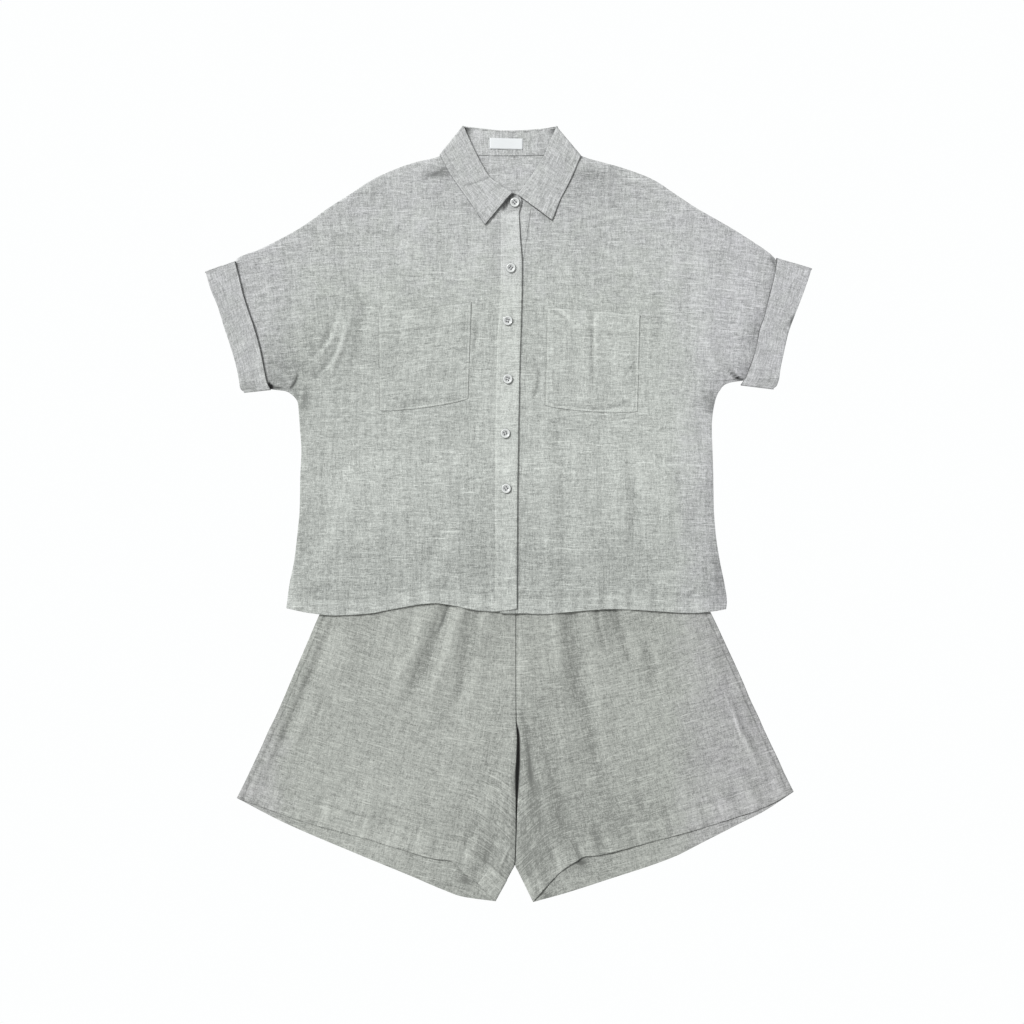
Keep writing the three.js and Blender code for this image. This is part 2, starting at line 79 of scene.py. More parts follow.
def add_node(material, kind, inputs=(), **settings):
    """A new node with its settings, and a value or another node's output for each input given."""
    node = material.node_tree.nodes.new("ShaderNode" + kind)
    for title, value in settings.items():
        setattr(node, title, value)
    for socket, value in dict(inputs).items():
        if isinstance(value, bpy.types.NodeSocket):
            material.node_tree.links.new(value, node.inputs[socket])
        else:
            node.inputs[socket].default_value = value
    return node


def feed(material, title, output):
    """Join a node's output to the shader's input of this name."""
    material.node_tree.links.new(output, material.node_tree.nodes["Principled BSDF"].inputs[title])


table_top = bmesh.new()
table_place = Matrix.Translation((0, 0, -TABLE_DROP))
bmesh.ops.create_grid(table_top, x_segments=2, y_segments=2, size=TABLE_REACH, matrix=table_place)
table = put_in("table", mesh_of("table", table_top))
table.data.materials.append(surfaced("table_white", Base_Color=(0, 0, 0, 1), Specular_IOR_Level=0.0,
                                     Emission_Color=(0.992, 1.0, 1.0, 1), Emission_Strength=TABLE_GLOW))

room = bpy.data.worlds.new("white_room")
room.use_nodes = True
backdrop = room.node_tree.nodes["Background"]
backdrop.inputs["Color"].default_value = (1.0, 1.0, 1.0, 1)
backdrop.inputs["Strength"].default_value = ROOM_GLOW
bpy.context.scene.world = room

lamp = put_in("soft_lamp", bpy.data.lights.new("soft_lamp", "SUN"))
lamp.data.energy = LAMP_POWER
lamp.data.angle = LAMP_SPREAD
lamp.rotation_euler = LAMP_FROM.to_track_quat("Z", "Y").to_euler()

camera = put_in("camera", bpy.data.cameras.new("camera"))
camera.location = (*VIEW_CENTRE, CAMERA_HEIGHT)
camera.data.lens = camera.data.sensor_width * CAMERA_HEIGHT / VIEW_WIDTH
camera.data.clip_end = VIEW_DEPTH
bpy.context.scene.camera = camera
bpy.context.scene.view_settings.view_transform = "Standard"

# ---------------------------------------------------------------- shorts, back halves
# Two back halves of slubby linen, each one layer, lying flat on the table with their inner faces up.
# They run a little lower than the fronts, so a strip of the inside shows below each front hem.
CLOTH = 0.9 * mm        # one layer of the linen
LEVEL = 1.3 * mm        # rise from one layer to the next
SHORTS_HEM = 27 * mm    # turned and stitched hem of a leg
# Painted shade and light of the folds: troughs darker, ridges lighter.
FOLD_SHADING = 70          # tone per metre of a fold's rise

# Columns: side x, side y, inner x, inner y, from waist to hem, in mm.
RIGHT_LEG = [
    (-168, -14.3, 9.2, -14.3), (-196, -50, 9.2, -50), (-222, -92, 9.2, -92), (-241, -130, 9.2, -130),
    (-256, -165, 9.2, -170), (-277, -214, 9.3, -230), (-288, -240, 9.6, -262), (-297, -260, 11.3, -285),
    (-305, -276, 10.4, -312), (-312, -292, 9.2, -335), (-325, -320, 9.5, -388), (-334, -339, 8.7, -434),
    (-336, -343, 7.6, -446), (-338, -347, 3.0, -455.5), (-341, -353, -4.7, -470), (-345, -361, -16.4, -492),
]
LEFT_LEG = [
    (187, -14.3, 9.6, -14.3), (213, -50, 9.6, -50), (239, -92, 9.6, -92), (259, -130, 9.6, -130),
    (275, -164, 9.6, -170), (297, -212, 9.7, -230), (307, -236, 10.2, -262), (317, -257, 13.5, -285),
    (324, -273, 13.8, -312), (331, -288, 12.8, -335), (343, -313, 10.5, -388), (350, -329, 9.1, -434),
    (352, -333, 8.6, -446), (354, -337, 12.8, -455.5), (357.5, -344, 19.9, -470), (362, -353, 31.2, -493),
]
# Hem lines from side seam to inner seam, in mm.
RIGHT_BACK_HEM = [
    (-345, -361), (-285, -392), (-187, -434), (-119, -462), (-84, -477), (-59, -486), (-16.4, -492),
]
LEFT_BACK_HEM = [
    (362, -353), (322, -379), (296, -392), (247, -417), (209, -436), (121, -466), (71, -482), (31.2, -493),
]

# Painted shade in broad darker places and below the fronts' hems, with one lighter patch: middle x, y, reach
# x, y, in mm, then tone.
BACK_SHADES = [
    (90, -440, 80, 60, -0.10), (-40, -455, 60, 50, -0.10), (92, -443, 9, 5, -0.75), (47, -484, 8, 7, -0.55),
    (60, -471, 8, 5, -0.30), (-54, -465, 7, 6, -0.45), (-60, -470, 9, 9, -0.15), (-25, -487, 9, 8, -0.15),
    (-215, -425, 60, 22, 0.12),
]


def through(stations, values, at):
    """A smooth line through a table's rows, with no swing past them."""
    stations, values, at = (np.asarray(v, float) for v in (stations, values, at))
    step = np.diff(stations)
    slope = np.diff(values) / step
    same = slope[1:] * slope[:-1] > 0
    inner = np.where(same, 2 * slope[1:] * slope[:-1] / np.where(same, slope[1:] + slope[:-1], 1), 0)
    lean = np.concatenate([slope[:1], inner, slope[-1:]])
    row = np.clip(np.searchsorted(stations, at, side="right") - 1, 0, len(step) - 1)
    t = np.clip((at - stations[row]) / step[row], 0, 1)
    blend = t * t * (3 - 2 * t)
    bow = t * (1 - t) * ((1 - t) * lean[row] - t * lean[row + 1])
    return values[row] * (1 - blend) + values[row + 1] * blend + step[row] * bow


def ease(x, start, end):
    """0 before start and 1 after end, with a smooth turn between them."""
    t = np.clip((x - start) / (end - start), 0, 1)
    return t * t * (3 - 2 * t)


def until(x, start, end):
    """1 before start and 0 after end, with a smooth turn between them."""
    return 1 - ease(x, start, end)


def ridge(x, middle, width):
    """1 at the middle, falling smoothly to almost nothing at two widths from it."""
    return np.exp(-((x - middle) / width) ** 2)


def length_along(x, y, axis):
    """Distance walked along the rows or columns of a net of points, from its first one."""
    steps = np.hypot(np.diff(x, axis=axis), np.diff(y, axis=axis))
    start = np.zeros_like(x.take([0], axis=axis))
    return np.concatenate([start, np.cumsum(steps, axis=axis)], axis=axis)


def edge_columns(count):
    """Shares across a panel, close together at both edges, where the cloth turns over."""
    turn = np.array([0, 0.002, 0.005, 0.010, 0.018])
    seam = np.linspace(0.021, 0.048, 11)
    return np.concatenate([turn, seam, np.linspace(0.052, 0.948, count), 1 - seam[::-1], 1 - turn[::-1]])


def leg_plan(sections, hem, columns, rows, close=()):
    """Net of points of a leg panel, in rows from its hem up, and their height above the hem."""
    table = np.array(sections) * mm
    last = len(table) - 1
    down = np.linspace(0, last, 300)
    side_x, side_y, inner_x, inner_y = (through(range(last + 1), edge, down)[:, None] for edge in table.T)
    across = np.union1d(edge_columns(columns), close)
    x, y = side_x + (inner_x - side_x) * across, side_y + (inner_y - side_y) * across
    hem_x, hem_y = np.array(sorted(hem)).T * mm
    y = y + ease(down, last - 8, last)[:, None] * (through(hem_x, hem_y, x[-1]) - y[-1])
    x, y = x[::-1], y[::-1]
    walked = length_along(x, y, 0)
    near = np.array([0, 0.5, 1.5, 3, 6, 10, 14, 18, 22, 25, 26.3, 27.2, 28.1, 29.4, 32]) * mm
    share = np.linspace(0, 1, rows)[1:, None]
    above = np.concatenate([near[:, None] + 0 * walked[-1], near[-1] + (walked[-1] - near[-1]) * share])
    columns = range(len(across))
    x, y = (np.stack([np.interp(above[:, c], walked[:, c], v[:, c]) for c in columns], 1) for v in (x, y))
    return (x, y, above) if x[0, 0] < x[0, -1] else (x[:, ::-1], y[:, ::-1], above[:, ::-1])


def slack(x, y, wave, seed):
    """Uneven lie of slack cloth: long low waves in all directions, with a height of about one."""
    draw = np.random.RandomState(seed)
    count, lie = 24, 0
    ranges = ((0, np.pi), (0.7, 1.8), (0, 6.28))
    turns, stretches, starts = (draw.uniform(low, high, count) for low, high in ranges)
    for turn, stretch, start in zip(turns, stretches, starts):
        lie = lie + np.sin((x * np.cos(turn) + y * np.sin(turn)) * 6.28 / (wave * stretch) + start)
    return lie / count ** 0.5


def leg_threads(x, y, hand):
    """Places of the weft and warp in a leg: the weft climbs to the side seam and turns down at the inseam."""
    inward = (x - 9 * mm) * -hand
    reach = 90 * mm
    t = np.clip((inward + reach) / reach, 0, None)
    turned = reach * np.where(t < 1, t ** 3 - t ** 4 / 2, t - 0.5)
    outward, bend = np.maximum(-inward, 0), 80 * mm
    slope = 1 - np.exp(-outward / bend)
    drop = 0.33 * (bend * slope - outward) + 0.95 * turned * ease(-y, 250 * mm, 440 * mm)
    return x + hand * (0.05 + 0.22 * slope) * (y + 200 * mm), y + drop


def greenness(x, y):
    """How green the grey is: most in the middle of the set, least at its collar, cuffs and left side."""
    low = 0.2 + 0.8 * ease(-y, -430 * mm, -150 * mm)
    return low * until(x, 150 * mm, 290 * mm) * (1 - 0.8 * ease(-x, 230 * mm, 330 * mm))


def painted_shade_spots(x, y, rows):
    """Painted shade and light in broad patches where cloth slopes from the light. Rows: middle x, y, reach x,
    y, in mm, then tone.
    """
    return sum(tone * np.exp(-((x / mm - a) / w) ** 2 - ((y / mm - b) / h) ** 2) for a, b, w, h, tone in rows)


def lay_cloth(name, x, y, z, threads, tone=0.0, wall=CLOTH):
    """A sheet of cloth from the net of points of its upper face, with its threads' places and its tone of
    colour and painted shade.
    """
    sheet = bmesh.new()
    rows, columns = x.shape
    knots = bmesh.ops.create_grid(sheet, x_segments=columns - 1, y_segments=rows - 1, size=1)["verts"]
    for knot, place in zip(knots, np.stack([x, y, z], -1).reshape(-1, 3)):
        knot.co = place
    piece = put_in(name, mesh_of(name, sheet))
    mesh = piece.data
    corner = np.zeros(len(mesh.loops), int)
    mesh.loops.foreach_get("vertex_index", corner)
    weave = mesh.uv_layers.new(name="threads")
    weave.data.foreach_set("uv", np.stack(threads, -1).reshape(-1, 2)[corner].ravel())
    for title, values in (("tone", np.zeros_like(x) + tone), ("green", greenness(x, y))):
        mesh.attributes.new(title, "FLOAT", "POINT").data.foreach_set("value", values.ravel())
    mesh.shade_smooth()
    thick = piece.modifiers.new("wall", "SOLIDIFY")
    thick.thickness, thick.offset = wall, -1
    return piece


# Noise layers of the weave: cells per metre along the weft, across it, detail, weight.
WEAVE = [(1200, 1200, 0, 1.00), (150, 1050, 0, 0.67), (1050, 180, 0, 0.53), (36, 460, 1, 0.46),
         (460, 32, 1, 0.38), (34, 34, 2, 0.13), (11, 14, 1, 0.13), (170, 9, 1, 0.24)]
FINE_FROM = 1000            # layers with more cells than this are single threads, which also stand up
LEAST_GREEN, MOST_GREEN = (1.03, 0.995, 1.095, 1), (0.99, 1.002, 1.003, 1)


def linen(name, deepest, light):
    """Slubby linen: pale weft on a grey warp, uneven threads, a fine weave, and painted shade in gaps and
    creases.
    """
    cloth = surfaced(name, Roughness=0.93, Specular_IOR_Level=0.25, Sheen_Weight=0.08, Sheen_Roughness=0.5)

    def node(kind, inputs=(), **settings):
        return add_node(cloth, kind, inputs, **settings)

    weave = node("UVMap", uv_map="threads").outputs["UV"]
    waver = node("TexNoise", {"Scale": 14, "Vector": weave}).outputs["Color"]
    bent = {0: waver, 1: (0.003, 0.003, 0), 2: weave}
    swing = node("VectorMath", bent, operation="MULTIPLY_ADD").outputs[0]

    def threads(along, across, detail):
        """Noise stretched to threads: cells per metre along and across the weft."""
        place = node("Mapping", {"Scale": (along, across, 1), "Location": (along * 0.37, across * 0.61, 0.5),
                                 "Vector": swing})
        noise = node("TexNoise", {"Scale": 1, "Detail": detail, "Vector": place.outputs[0]})
        return noise.outputs["Fac"]

    def add_to(total, value, weight):
        """A total with a weighted value added. Without a total, the value is counted from its middle."""
        start = -weight / 2 if total is None else total
        return node("Math", {0: value, 1: weight, 2: start}, operation="MULTIPLY_ADD").outputs[0]

    # The painted shade and light of the folds and seams lies on upward faces only, so none of it shows on the
    # cloth's underside.
    facing = node("SeparateXYZ", {0: node("NewGeometry").outputs["Normal"]}).outputs["Z"]
    upper = node("Math", {0: facing, 1: 8}, operation="MULTIPLY", use_clamp=True).outputs[0]
    painted = node("Attribute", attribute_name="tone").outputs["Fac"]
    tone = node("Math", {0: painted, 1: upper}, operation="MULTIPLY").outputs[0]

    total, fine = tone, None
    for along, across, detail, weight in WEAVE:
        value = threads(along, across, detail)
        total = add_to(total, value, weight)
        if max(along, across) > FINE_FROM:
            fine = add_to(fine, value, 1.0)
    # Slubs: the few thick places of single weft threads.
    slub = node("MapRange", {"Value": threads(48, 820, 0),
                             "From Min": 0.71, "From Max": 0.80, "To Max": 0.37})
    total = add_to(total, slub.outputs[0], 1.0)
    middle = 0.5 - sum(weight for *_, weight in WEAVE) / 2
    level = node("Math", {0: total, 1: middle}, operation="ADD", use_clamp=True).outputs[0]
    colour = node("Mix", {0: level, 6: (*deepest, 1), 7: (*light, 1)}, data_type="RGBA").outputs[2]
    green = add_to(node("Attribute", attribute_name="green").outputs["Fac"], threads(50, 50, 1), 0.6)
    tint = node("Mix", {0: green, 6: LEAST_GREEN, 7: MOST_GREEN}, data_type="RGBA").outputs[2]
    hue = node("VectorMath", {0: colour, 1: tint}, operation="MULTIPLY").outputs[0]

    # Painted shade: the cloth's colour goes dark in narrow places, where other cloth is close, and where the
    # tone says that a gap is.
    near = node("AmbientOcclusion", {"Distance": 3.2 * mm}, samples=6).outputs["AO"]
    crevice_shade = node("MapRange", {"Value": near, "From Min": 0.08, "From Max": 0.60, "To Min": 0.10})
    painted_gap_shadow = node("MapRange", {"Value": tone, "From Min": -1.5, "From Max": -0.5, "To Min": 0.04})
    depth = node("Math", {0: crevice_shade.outputs[0], 1: painted_gap_shadow.outputs[0]}, operation="MULTIPLY").outputs[0]
    feed(cloth, "Base Color", node("VectorMath", {0: hue, "Scale": depth}, operation="SCALE").outputs[0])

    # The weave's relief: threads that cross over and under, and the single ones that stand up.
    rows = [node("TexWave", {"Scale": 520, "Vector": swing}, bands_direction=way) for way in "XY"]
    crossing = {k: add_to(None, row.outputs["Fac"], 1.0) for k, row in enumerate(rows)}
    over = node("Math", crossing, operation="MULTIPLY").outputs[0]
    relief = node("Bump", {"Strength": 0.4, "Distance": 0.35 * mm, "Height": add_to(fine, over, 1.2)})
    feed(cloth, "Normal", relief.outputs["Normal"])
    return cloth


def set_in_place(piece, cloth, slot, *nodes):
    """Give a piece its cloth, hang it on the root, and hide the frame's parts that it stands for."""
    piece.data.materials.append(cloth)
    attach(piece, "root")
    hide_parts(*nodes)


shorts_linen = linen("shorts_linen", (0.194, 0.201, 0.186), (0.530, 0.546, 0.506))
BACKS = (("right", RIGHT_LEG, RIGHT_BACK_HEM, -1), ("left", LEFT_LEG, LEFT_BACK_HEM, 1))
for side, sections, hem, hand in BACKS:
    x, y, above_hem = leg_plan(sections, hem, 110, 84)
    from_left, width = length_along(x, y, 1), length_along(x, y, 1)[:, -1:]
    inset = np.minimum(from_left, width - from_left)
    inner = width - from_left if hand < 0 else from_left
    turned = until(above_hem, SHORTS_HEM - 0.4 * mm, SHORTS_HEM + 1.4 * mm)
    puff = 0.15 * mm * np.maximum(1.2 + slack(x, y, 70 * mm, 11), 0) * ease(inset, 0, 20 * mm)
    z = CLOTH + puff + 0.3 * mm * turned
    # Along the middle the two backs lap a little, and more behind the gap between the fronts' legs.
    behind_gap = ease(-y, 262 * mm, 285 * mm) * until(-y, 340 * mm, 390 * mm)
    lap = (1.1 + 2.2 * behind_gap) * ridge(inner, 0, 9 * mm) * until(-y, 443 * mm, 449 * mm)
    x = x - hand * lap * mm
    # Painted shadow: the strip of each back that shows in the gap between the fronts' legs is painted almost
    # black.
    painted_gap_shadow = until(inner, 5 * mm, 7 * mm) * until(-y, 440 * mm, 448 * mm)
    tone = -0.07 - 1.6 * painted_gap_shadow + 0.04 * turned + painted_shade_spots(x, y, BACK_SHADES)
    back = lay_cloth("shorts_back_" + side, x, y, z, leg_threads(x, y, hand), tone)
    set_in_place(back, shorts_linen, "shorts_linen", "shorts_back_" + side)

# ---------------------------------------------------------------- shorts, front halves
# Two front halves that lie on the backs, joined down the middle and open as two legs below the crotch.
# They are slack, so they fall in soft folds from the waist, and each leg ends in a wide stitched hem.
RIGHT_FRONT_HEM = [
    (-345, -361), (-317, -371), (-260, -391), (-184, -412), (-134, -427), (-94, -438), (-76, -440),
    (-67, -445), (-59, -454), (-49, -462), (-39, -469), (-16.4, -491.5),
]
LEFT_FRONT_HEM = [
    (362, -353), (322, -374), (287, -386), (222, -406), (171, -419.5), (131, -430), (111, -434), (97, -435),
    (88, -440), (66, -455), (51, -470), (31.2, -492.5),
]
# Creases, in mm: three points along each, then half width, rise (troughs are negative) and any lean.
LEG_CREASES = {
    "right": [
        (-66, -70, -98, -165, -134, -244, 7, -3.0, 0.2), (-77, -96, -80, -122, -86, -146, 3, -2.2),
        (-50, -80, -80, -180, -112, -250, 9, 2.2, 0.1), (-100, -112, -122, -170, -150, -226, 9, 2.4),
        (-116, -152, -127, -172, -138, -192, 5, -1.4), (-46, -80, -56, -185, -68, -246, 8, -2.2, 0.2),
        (-36, -90, -38, -130, -42, -164, 3, -1.2), (-26, -90, -40, -190, -52, -270, 9, 1.5),
        (-12, -112, -14, -150, -20, -200, 9, -1.2), (4, -150, 4, -215, 4, -275, 3, 0.8),
        (-222, -130, -264, -236, -308, -330, 4.5, -2.4), (-208, -140, -248, -236, -288, -330, 10, 1.3),
        (-150, -290, -170, -340, -176, -395, 13, 1.1), (-60, -320, -76, -370, -88, -425, 11, 1.3),
        (-20, -330, -32, -390, -58, -450, 8, 1.5, 0.1), (-38, -380, -50, -420, -66, -446, 5, -1.3),
        (-205, -150, -214, -200, -222, -250, 16, 0.9), (-170, -130, -190, -190, -200, -240, 9, -0.9),
        (-4, -300, -6, -370, -20, -440, 5, 0.9), (5, -412, -3, -432, -12, -453, 1.7, 2.0),
        (-14, -408, -30, -440, -48, -466, 5, -1.6, 0.2), (-40, -412, -52, -432, -66, -450, 5, 1.2),
        (-84, -412, -88, -425, -92, -438, 7, -1.1),
    ],
    "left": [
        (72, -80, 82, -170, 94, -236, 9, -2.4, -0.2), (88, -222, 104, -270, 108, -320, 9, -1.9),
        (56, -90, 66, -210, 78, -330, 9, 1.6), (122, -96, 132, -138, 146, -176, 9, -1.7),
        (97, -108, 110, -200, 122, -320, 10, 1.8), (110, -108, 116, -145, 126, -176, 4, -1.8),
        (133, -112, 146, -152, 158, -190, 3, -2.0, 0.2), (144, -112, 158, -160, 170, -200, 7, 1.6),
        (172, -162, 180, -195, 187, -234, 5, -1.6), (186, -150, 194, -190, 200, -240, 9, 1.1),
        (284, -246, 298, -282, 316, -314, 2.6, 2.4), (292, -246, 306, -282, 324, -312, 4, -0.8),
        (258, -150, 284, -230, 322, -318, 4, -1.3), (24, -285, 29, -320, 36, -362, 5, -2.2),
        (36, -300, 44, -350, 60, -410, 8, 1.6), (56, -330, 68, -380, 78, -436, 7, -1.4),
        (104, -300, 120, -350, 128, -400, 12, -1.2), (200, -290, 214, -340, 222, -400, 15, 1.0),
        (220, -130, 236, -180, 250, -240, 12, 0.9), (160, -300, 168, -350, 176, -400, 10, -1.0),
        (14, -150, 14, -215, 14, -275, 3, 0.8), (20, -290, 22, -350, 34, -430, 5, 0.9),
        (66, -412, 71, -426, 76, -446, 8, 0.9), (50, -428, 58, -442, 66, -458, 4, -1.1),
        (30, -440, 38, -460, 46, -474, 5, 0.9), (112, -404, 116, -418, 120, -432, 7, -1.0),
        (24, -380, 22, -415, 30, -450, 5, -1.2),
    ],
}
# Painted shade and highlights of sharp pressed lines in the same cloth: the same, with a tone in place of the
# rise.
SHARP_CREASES = {
    "right": [
        (-73, -100, -81, -128, -94, -158, 1.7, -0.42), (-92, -148, -102, -180, -116, -214, 5, -0.14),
    ],
    "left": [
        (120, -100, 134, -138, 156, -196, 1.1, -0.30), (283, -246, 294, -280, 314, -318, 1.1, 0.34),
        (90, -216, 102, -262, 113, -330, 4, -0.15), (14.5, -112, 14.5, -160, 14, -215, 1.4, 0.22),
        (14, -236, 23, -290, 33, -372, 3.2, -0.30), (172, -156, 181, -190, 190, -232, 4, -0.16),
    ],
}
# Painted shade and light in broad patches: middle x, y, reach x, y, in mm, then tone.
LEG_SHADES = {
    "right": [
        (-14, -400, 55, 110, -0.12), (-15, -140, 42, 34, -0.01), (-268, -330, 30, 60, -0.06),
        (-42, -452, 7, 12, -0.16), (-30, -434, 8, 14, -0.10), (-334, -366, 22, 7, -0.20),
        (-82, -385, 34, 50, -0.10), (-205, -416, 50, 18, 0.12), (-16, -446, 34, 34, -0.12),
        (-98, -196, 12, 26, -0.14), (-258, -215, 22, 46, -0.10), (-292, -262, 16, 40, -0.08),
        (-330, -340, 26, 22, -0.06), (-44, -160, 16, 40, -0.13),
    ],
    "left": [
        (72, -375, 60, 115, -0.16), (165, -400, 50, 40, -0.12), (130, -145, 34, 40, -0.06),
        (82, -150, 22, 44, -0.12), (10, -140, 30, 40, -0.02), (68, -440, 9, 14, 0.12),
        (28, -452, 26, 34, -0.16), (222, -335, 26, 40, -0.09), (124, -164, 12, 16, 0.06),
        (20, -310, 16, 60, -0.06), (42, -388, 26, 50, -0.20), (68, -332, 14, 22, 0.12),
        (38, -290, 18, 40, -0.12), (66, -222, 28, 44, -0.13), (138, -138, 26, 18, -0.13),
        (150, -412, 40, 20, -0.08),
    ],
}


def crease(x, y, row):
    """How far one crease lifts the cloth. It fades at both ends, and a lean makes one side steeper."""
    start, middle, end = np.array(row[:6]).reshape(3, 2) * mm
    width, rise, lean = row[6] * mm, row[7] * mm, (*row, 0)[8]
    t = np.linspace(0, 1, 9)[:, None]
    pull = 2 * middle - (start + end) / 2
    line = (1 - t) ** 2 * start + 2 * t * (1 - t) * pull + t ** 2 * end
    away, side, along = np.full(x.shape, 9.0), np.zeros(x.shape), np.zeros(x.shape)
    for k, (a, b) in enumerate(zip(line[:-1], line[1:])):
        run = b - a
        share = ((x - a[0]) * run[0] + (y - a[1]) * run[1]) / (run @ run)
        share = np.clip(share, -9 if k == 0 else 0, 9 if k == 7 else 1)
        off_x, off_y = x - a[0] - share * run[0], y - a[1] - share * run[1]
        closer = np.hypot(off_x, off_y) < away
        away = np.where(closer, np.hypot(off_x, off_y), away)
        side = np.where(closer, np.sign(run[0] * off_y - run[1] * off_x), side)
        along = np.where(closer, (k + share) / 8, along)
    fade = ease(along, -0.12, 0.28) * until(along, 0.72, 1.12)
    return rise * fade * np.exp(-(away / (width * (1 + lean * side))) ** 1.7)


def creases(x, y, rows):
    """How far a whole table of creases lifts the cloth."""
    return sum(crease(x, y, row) for row in rows)


def painted_crease_lines(x, y, rows):
    """Painted shade and highlights of a table's sharp pressed lines: rows as for creases, with a tone in
    place of the rise.
    """
    return 1000 * creases(x, y, rows)


def crinkles(x, y, seed, count, steep):
    """Small pressed creases at places drawn from a fixed seed. steep is how far they stray from upright."""
    draw = np.random.RandomState(seed)
    lift = np.zeros_like(x)
    for _ in range(count):
        middle = np.array([draw.uniform(x.min(), x.max()), draw.uniform(y.min(), y.max())])
        turn = np.pi / 2 + draw.normal(0, steep)
        reach = draw.uniform(8, 26) * mm * np.array([np.cos(turn), np.sin(turn)])
        bend = draw.normal(0, 1.5, 2) * mm
        row = (*(middle - reach), *(middle + bend), *(middle + reach))
        lift += crease(x, y, (*(v / mm for v in row), draw.uniform(1.6, 3.6), draw.normal(0, 0.26)))
    return lift


def puckers(along, seed):
    """Small pulls along a stitched hem, uneven in spacing and depth, with a height of about one."""
    draw = np.random.RandomState(seed)
    waves = zip(draw.uniform(11, 46, 9), draw.uniform(0, 6.28, 9))
    return sum(np.sin(6.28 * along / (wave * mm) + start) for wave, start in waves) / 2.1


def turn_down(inset, radius, drop):
    """The cloth's edge at a seam, turned down over a small radius."""
    t = np.clip(1 - inset / radius, 0, 1)
    return -drop * (1 - np.sqrt(1 - np.minimum(t, 0.999) ** 2))


leg_front = {}
FRONTS = (("right", RIGHT_LEG, RIGHT_FRONT_HEM, -1), ("left", LEFT_LEG, LEFT_FRONT_HEM, 1))
for side, sections, hem, hand in FRONTS:
    x, y, above_hem = leg_plan(sections, hem, 128, 132, np.arange(0.776, 0.836, 0.002) if hand > 0 else ())
    from_left = length_along(x, y, 1)
    from_right = from_left[:, -1:] - from_left
    inner, outer = (from_right, from_left) if hand < 0 else (from_left, from_right)
    inset = np.minimum(inner, outer)
    shown = ease(-y, 84 * mm, 128 * mm)
    puff = 1.1 * mm * ease(inset, 0, 16 * mm)
    puff = puff + 0.45 * mm * slack(x, y, 62 * mm, 21) * ease(inset, 2 * mm, 30 * mm)
    folds = creases(x, y, LEG_CREASES[side]) + crinkles(x, y, 31 + hand, 70, 0.45)
    folds = folds * shown * ease(inset, 0, 10 * mm)
    turned = until(above_hem, SHORTS_HEM - 0.4 * mm, SHORTS_HEM + 1.4 * mm)
    pulls = puckers(x + 0.3 * hand * y, 35 + hand) * until(above_hem, 24 * mm, 46 * mm)
    groove = ridge(above_hem, SHORTS_HEM + 1.6 * mm, 1.3 * mm)
    z = LEVEL + CLOTH + 2.8 * mm * ease(y, -60 * mm, -14 * mm) + shown * puff + folds
    z = z + (0.4 * turned + 0.15 * pulls - 0.25 * groove) * mm + turn_down(outer, 2.4 * mm, 1.3 * mm)
    # The middle is a closed seam down to the crotch and two free edges below it, which part at the hems.
    stages = ((268, 292), (345, 375), (440, 450))
    apart, lower_down, open_below = (ease(-y, start * mm, end * mm) for start, end in stages)
    free_edge = turn_down(inner, (2.0 - 1.0 * lower_down) * mm, 1.8 * mm) * (1 - 0.8 * open_below)
    z = z + apart * free_edge + (1 - apart) * turn_down(inner, 1.4 * mm, 0.5 * mm)
    z = z + (1.0 if hand < 0 else 0.3) * mm * shown * apart * ridge(inner, 7 * mm, 4.5 * mm)
    z = np.maximum(z, CLOTH + 0.35 * mm)
    z = z - 0.9 * mm * until(above_hem, 0, 9 * mm) * ease(np.abs(x), 110 * mm, 190 * mm)
    z = np.maximum(z, CLOTH + 0.35 * mm)
    # Painted shade and light of the folds, broad patches, the hem's puckers, its stitched groove and the
    # sharp creases; the doubled hem is a little paler.
    tone = FOLD_SHADING * folds + painted_shade_spots(x, y, LEG_SHADES[side])
    tone = tone + 0.07 * turned + 0.07 * pulls - 0.12 * groove
    tone = tone + painted_crease_lines(x, y, SHARP_CREASES[side]) * shown - 0.03 * (hand > 0)
    # Painted shadow along the very edge of the hem.
    tone = tone - (0.10 if hand < 0 else 0.22) * until(above_hem, 0.2 * mm, 1.3 * mm)
    # Side seam: a line of shade beside it, and one at the very edge.
    beside = ridge(outer, 6.4 * mm, 0.8 * mm) * (1 - 0.5 * ease(-y, 300 * mm, 350 * mm))
    tone = tone - (0.42 * beside + 0.3 * until(outer, 0.2 * mm, 1.1 * mm)) * shown
    # Middle: a painted shadow in the gap between the legs, and above it a faint seam on one side.
    leg_gap_shadow = 1.5 * (1 - 0.75 * lower_down) * until(inner, 0.2 * mm, (1.3 - 0.4 * lower_down) * mm)
    tone = tone - leg_gap_shadow * ease(-y, 258 * mm, 280 * mm) * until(-y, 436 * mm, 446 * mm)
    tone = tone - 0.08 * until(inner, 0.4 * mm, 1.3 * mm) * shown * until(-y, 250 * mm, 262 * mm) * (hand < 0)
    if hand > 0:
        # Painted shade along the leg's inner edge, just below the crotch.
        crotch = ease(-y, 262 * mm, 280 * mm) * until(-y, 335 * mm, 352 * mm)
        tone = tone - 0.24 * ridge(inner, 0, 5 * mm) * crotch
        # One pleat pressed into the hem, with a sharp step on its outer side and painted shade on the facet
        # past it.
        past = x - 78 * mm + (y + 413 * mm) * 0.43
        pressed = ease(-y, 408 * mm, 422 * mm)
        z = z + 0.9 * mm * pressed * until(past, -0.6 * mm, 0.7 * mm) * ridge(past, 0, 7 * mm)
        tone = tone - 0.36 * pressed * ease(past, -0.5 * mm, 0.6 * mm) * until(past, 5 * mm, 9 * mm)
    front = lay_cloth("shorts_front_" + side, x, y, z, leg_threads(x, y, hand), tone)
    set_in_place(front, shorts_linen, "shorts_linen", "shorts_front_" + side)
    leg_front[side] = (front, x, y, above_hem, inner, outer)

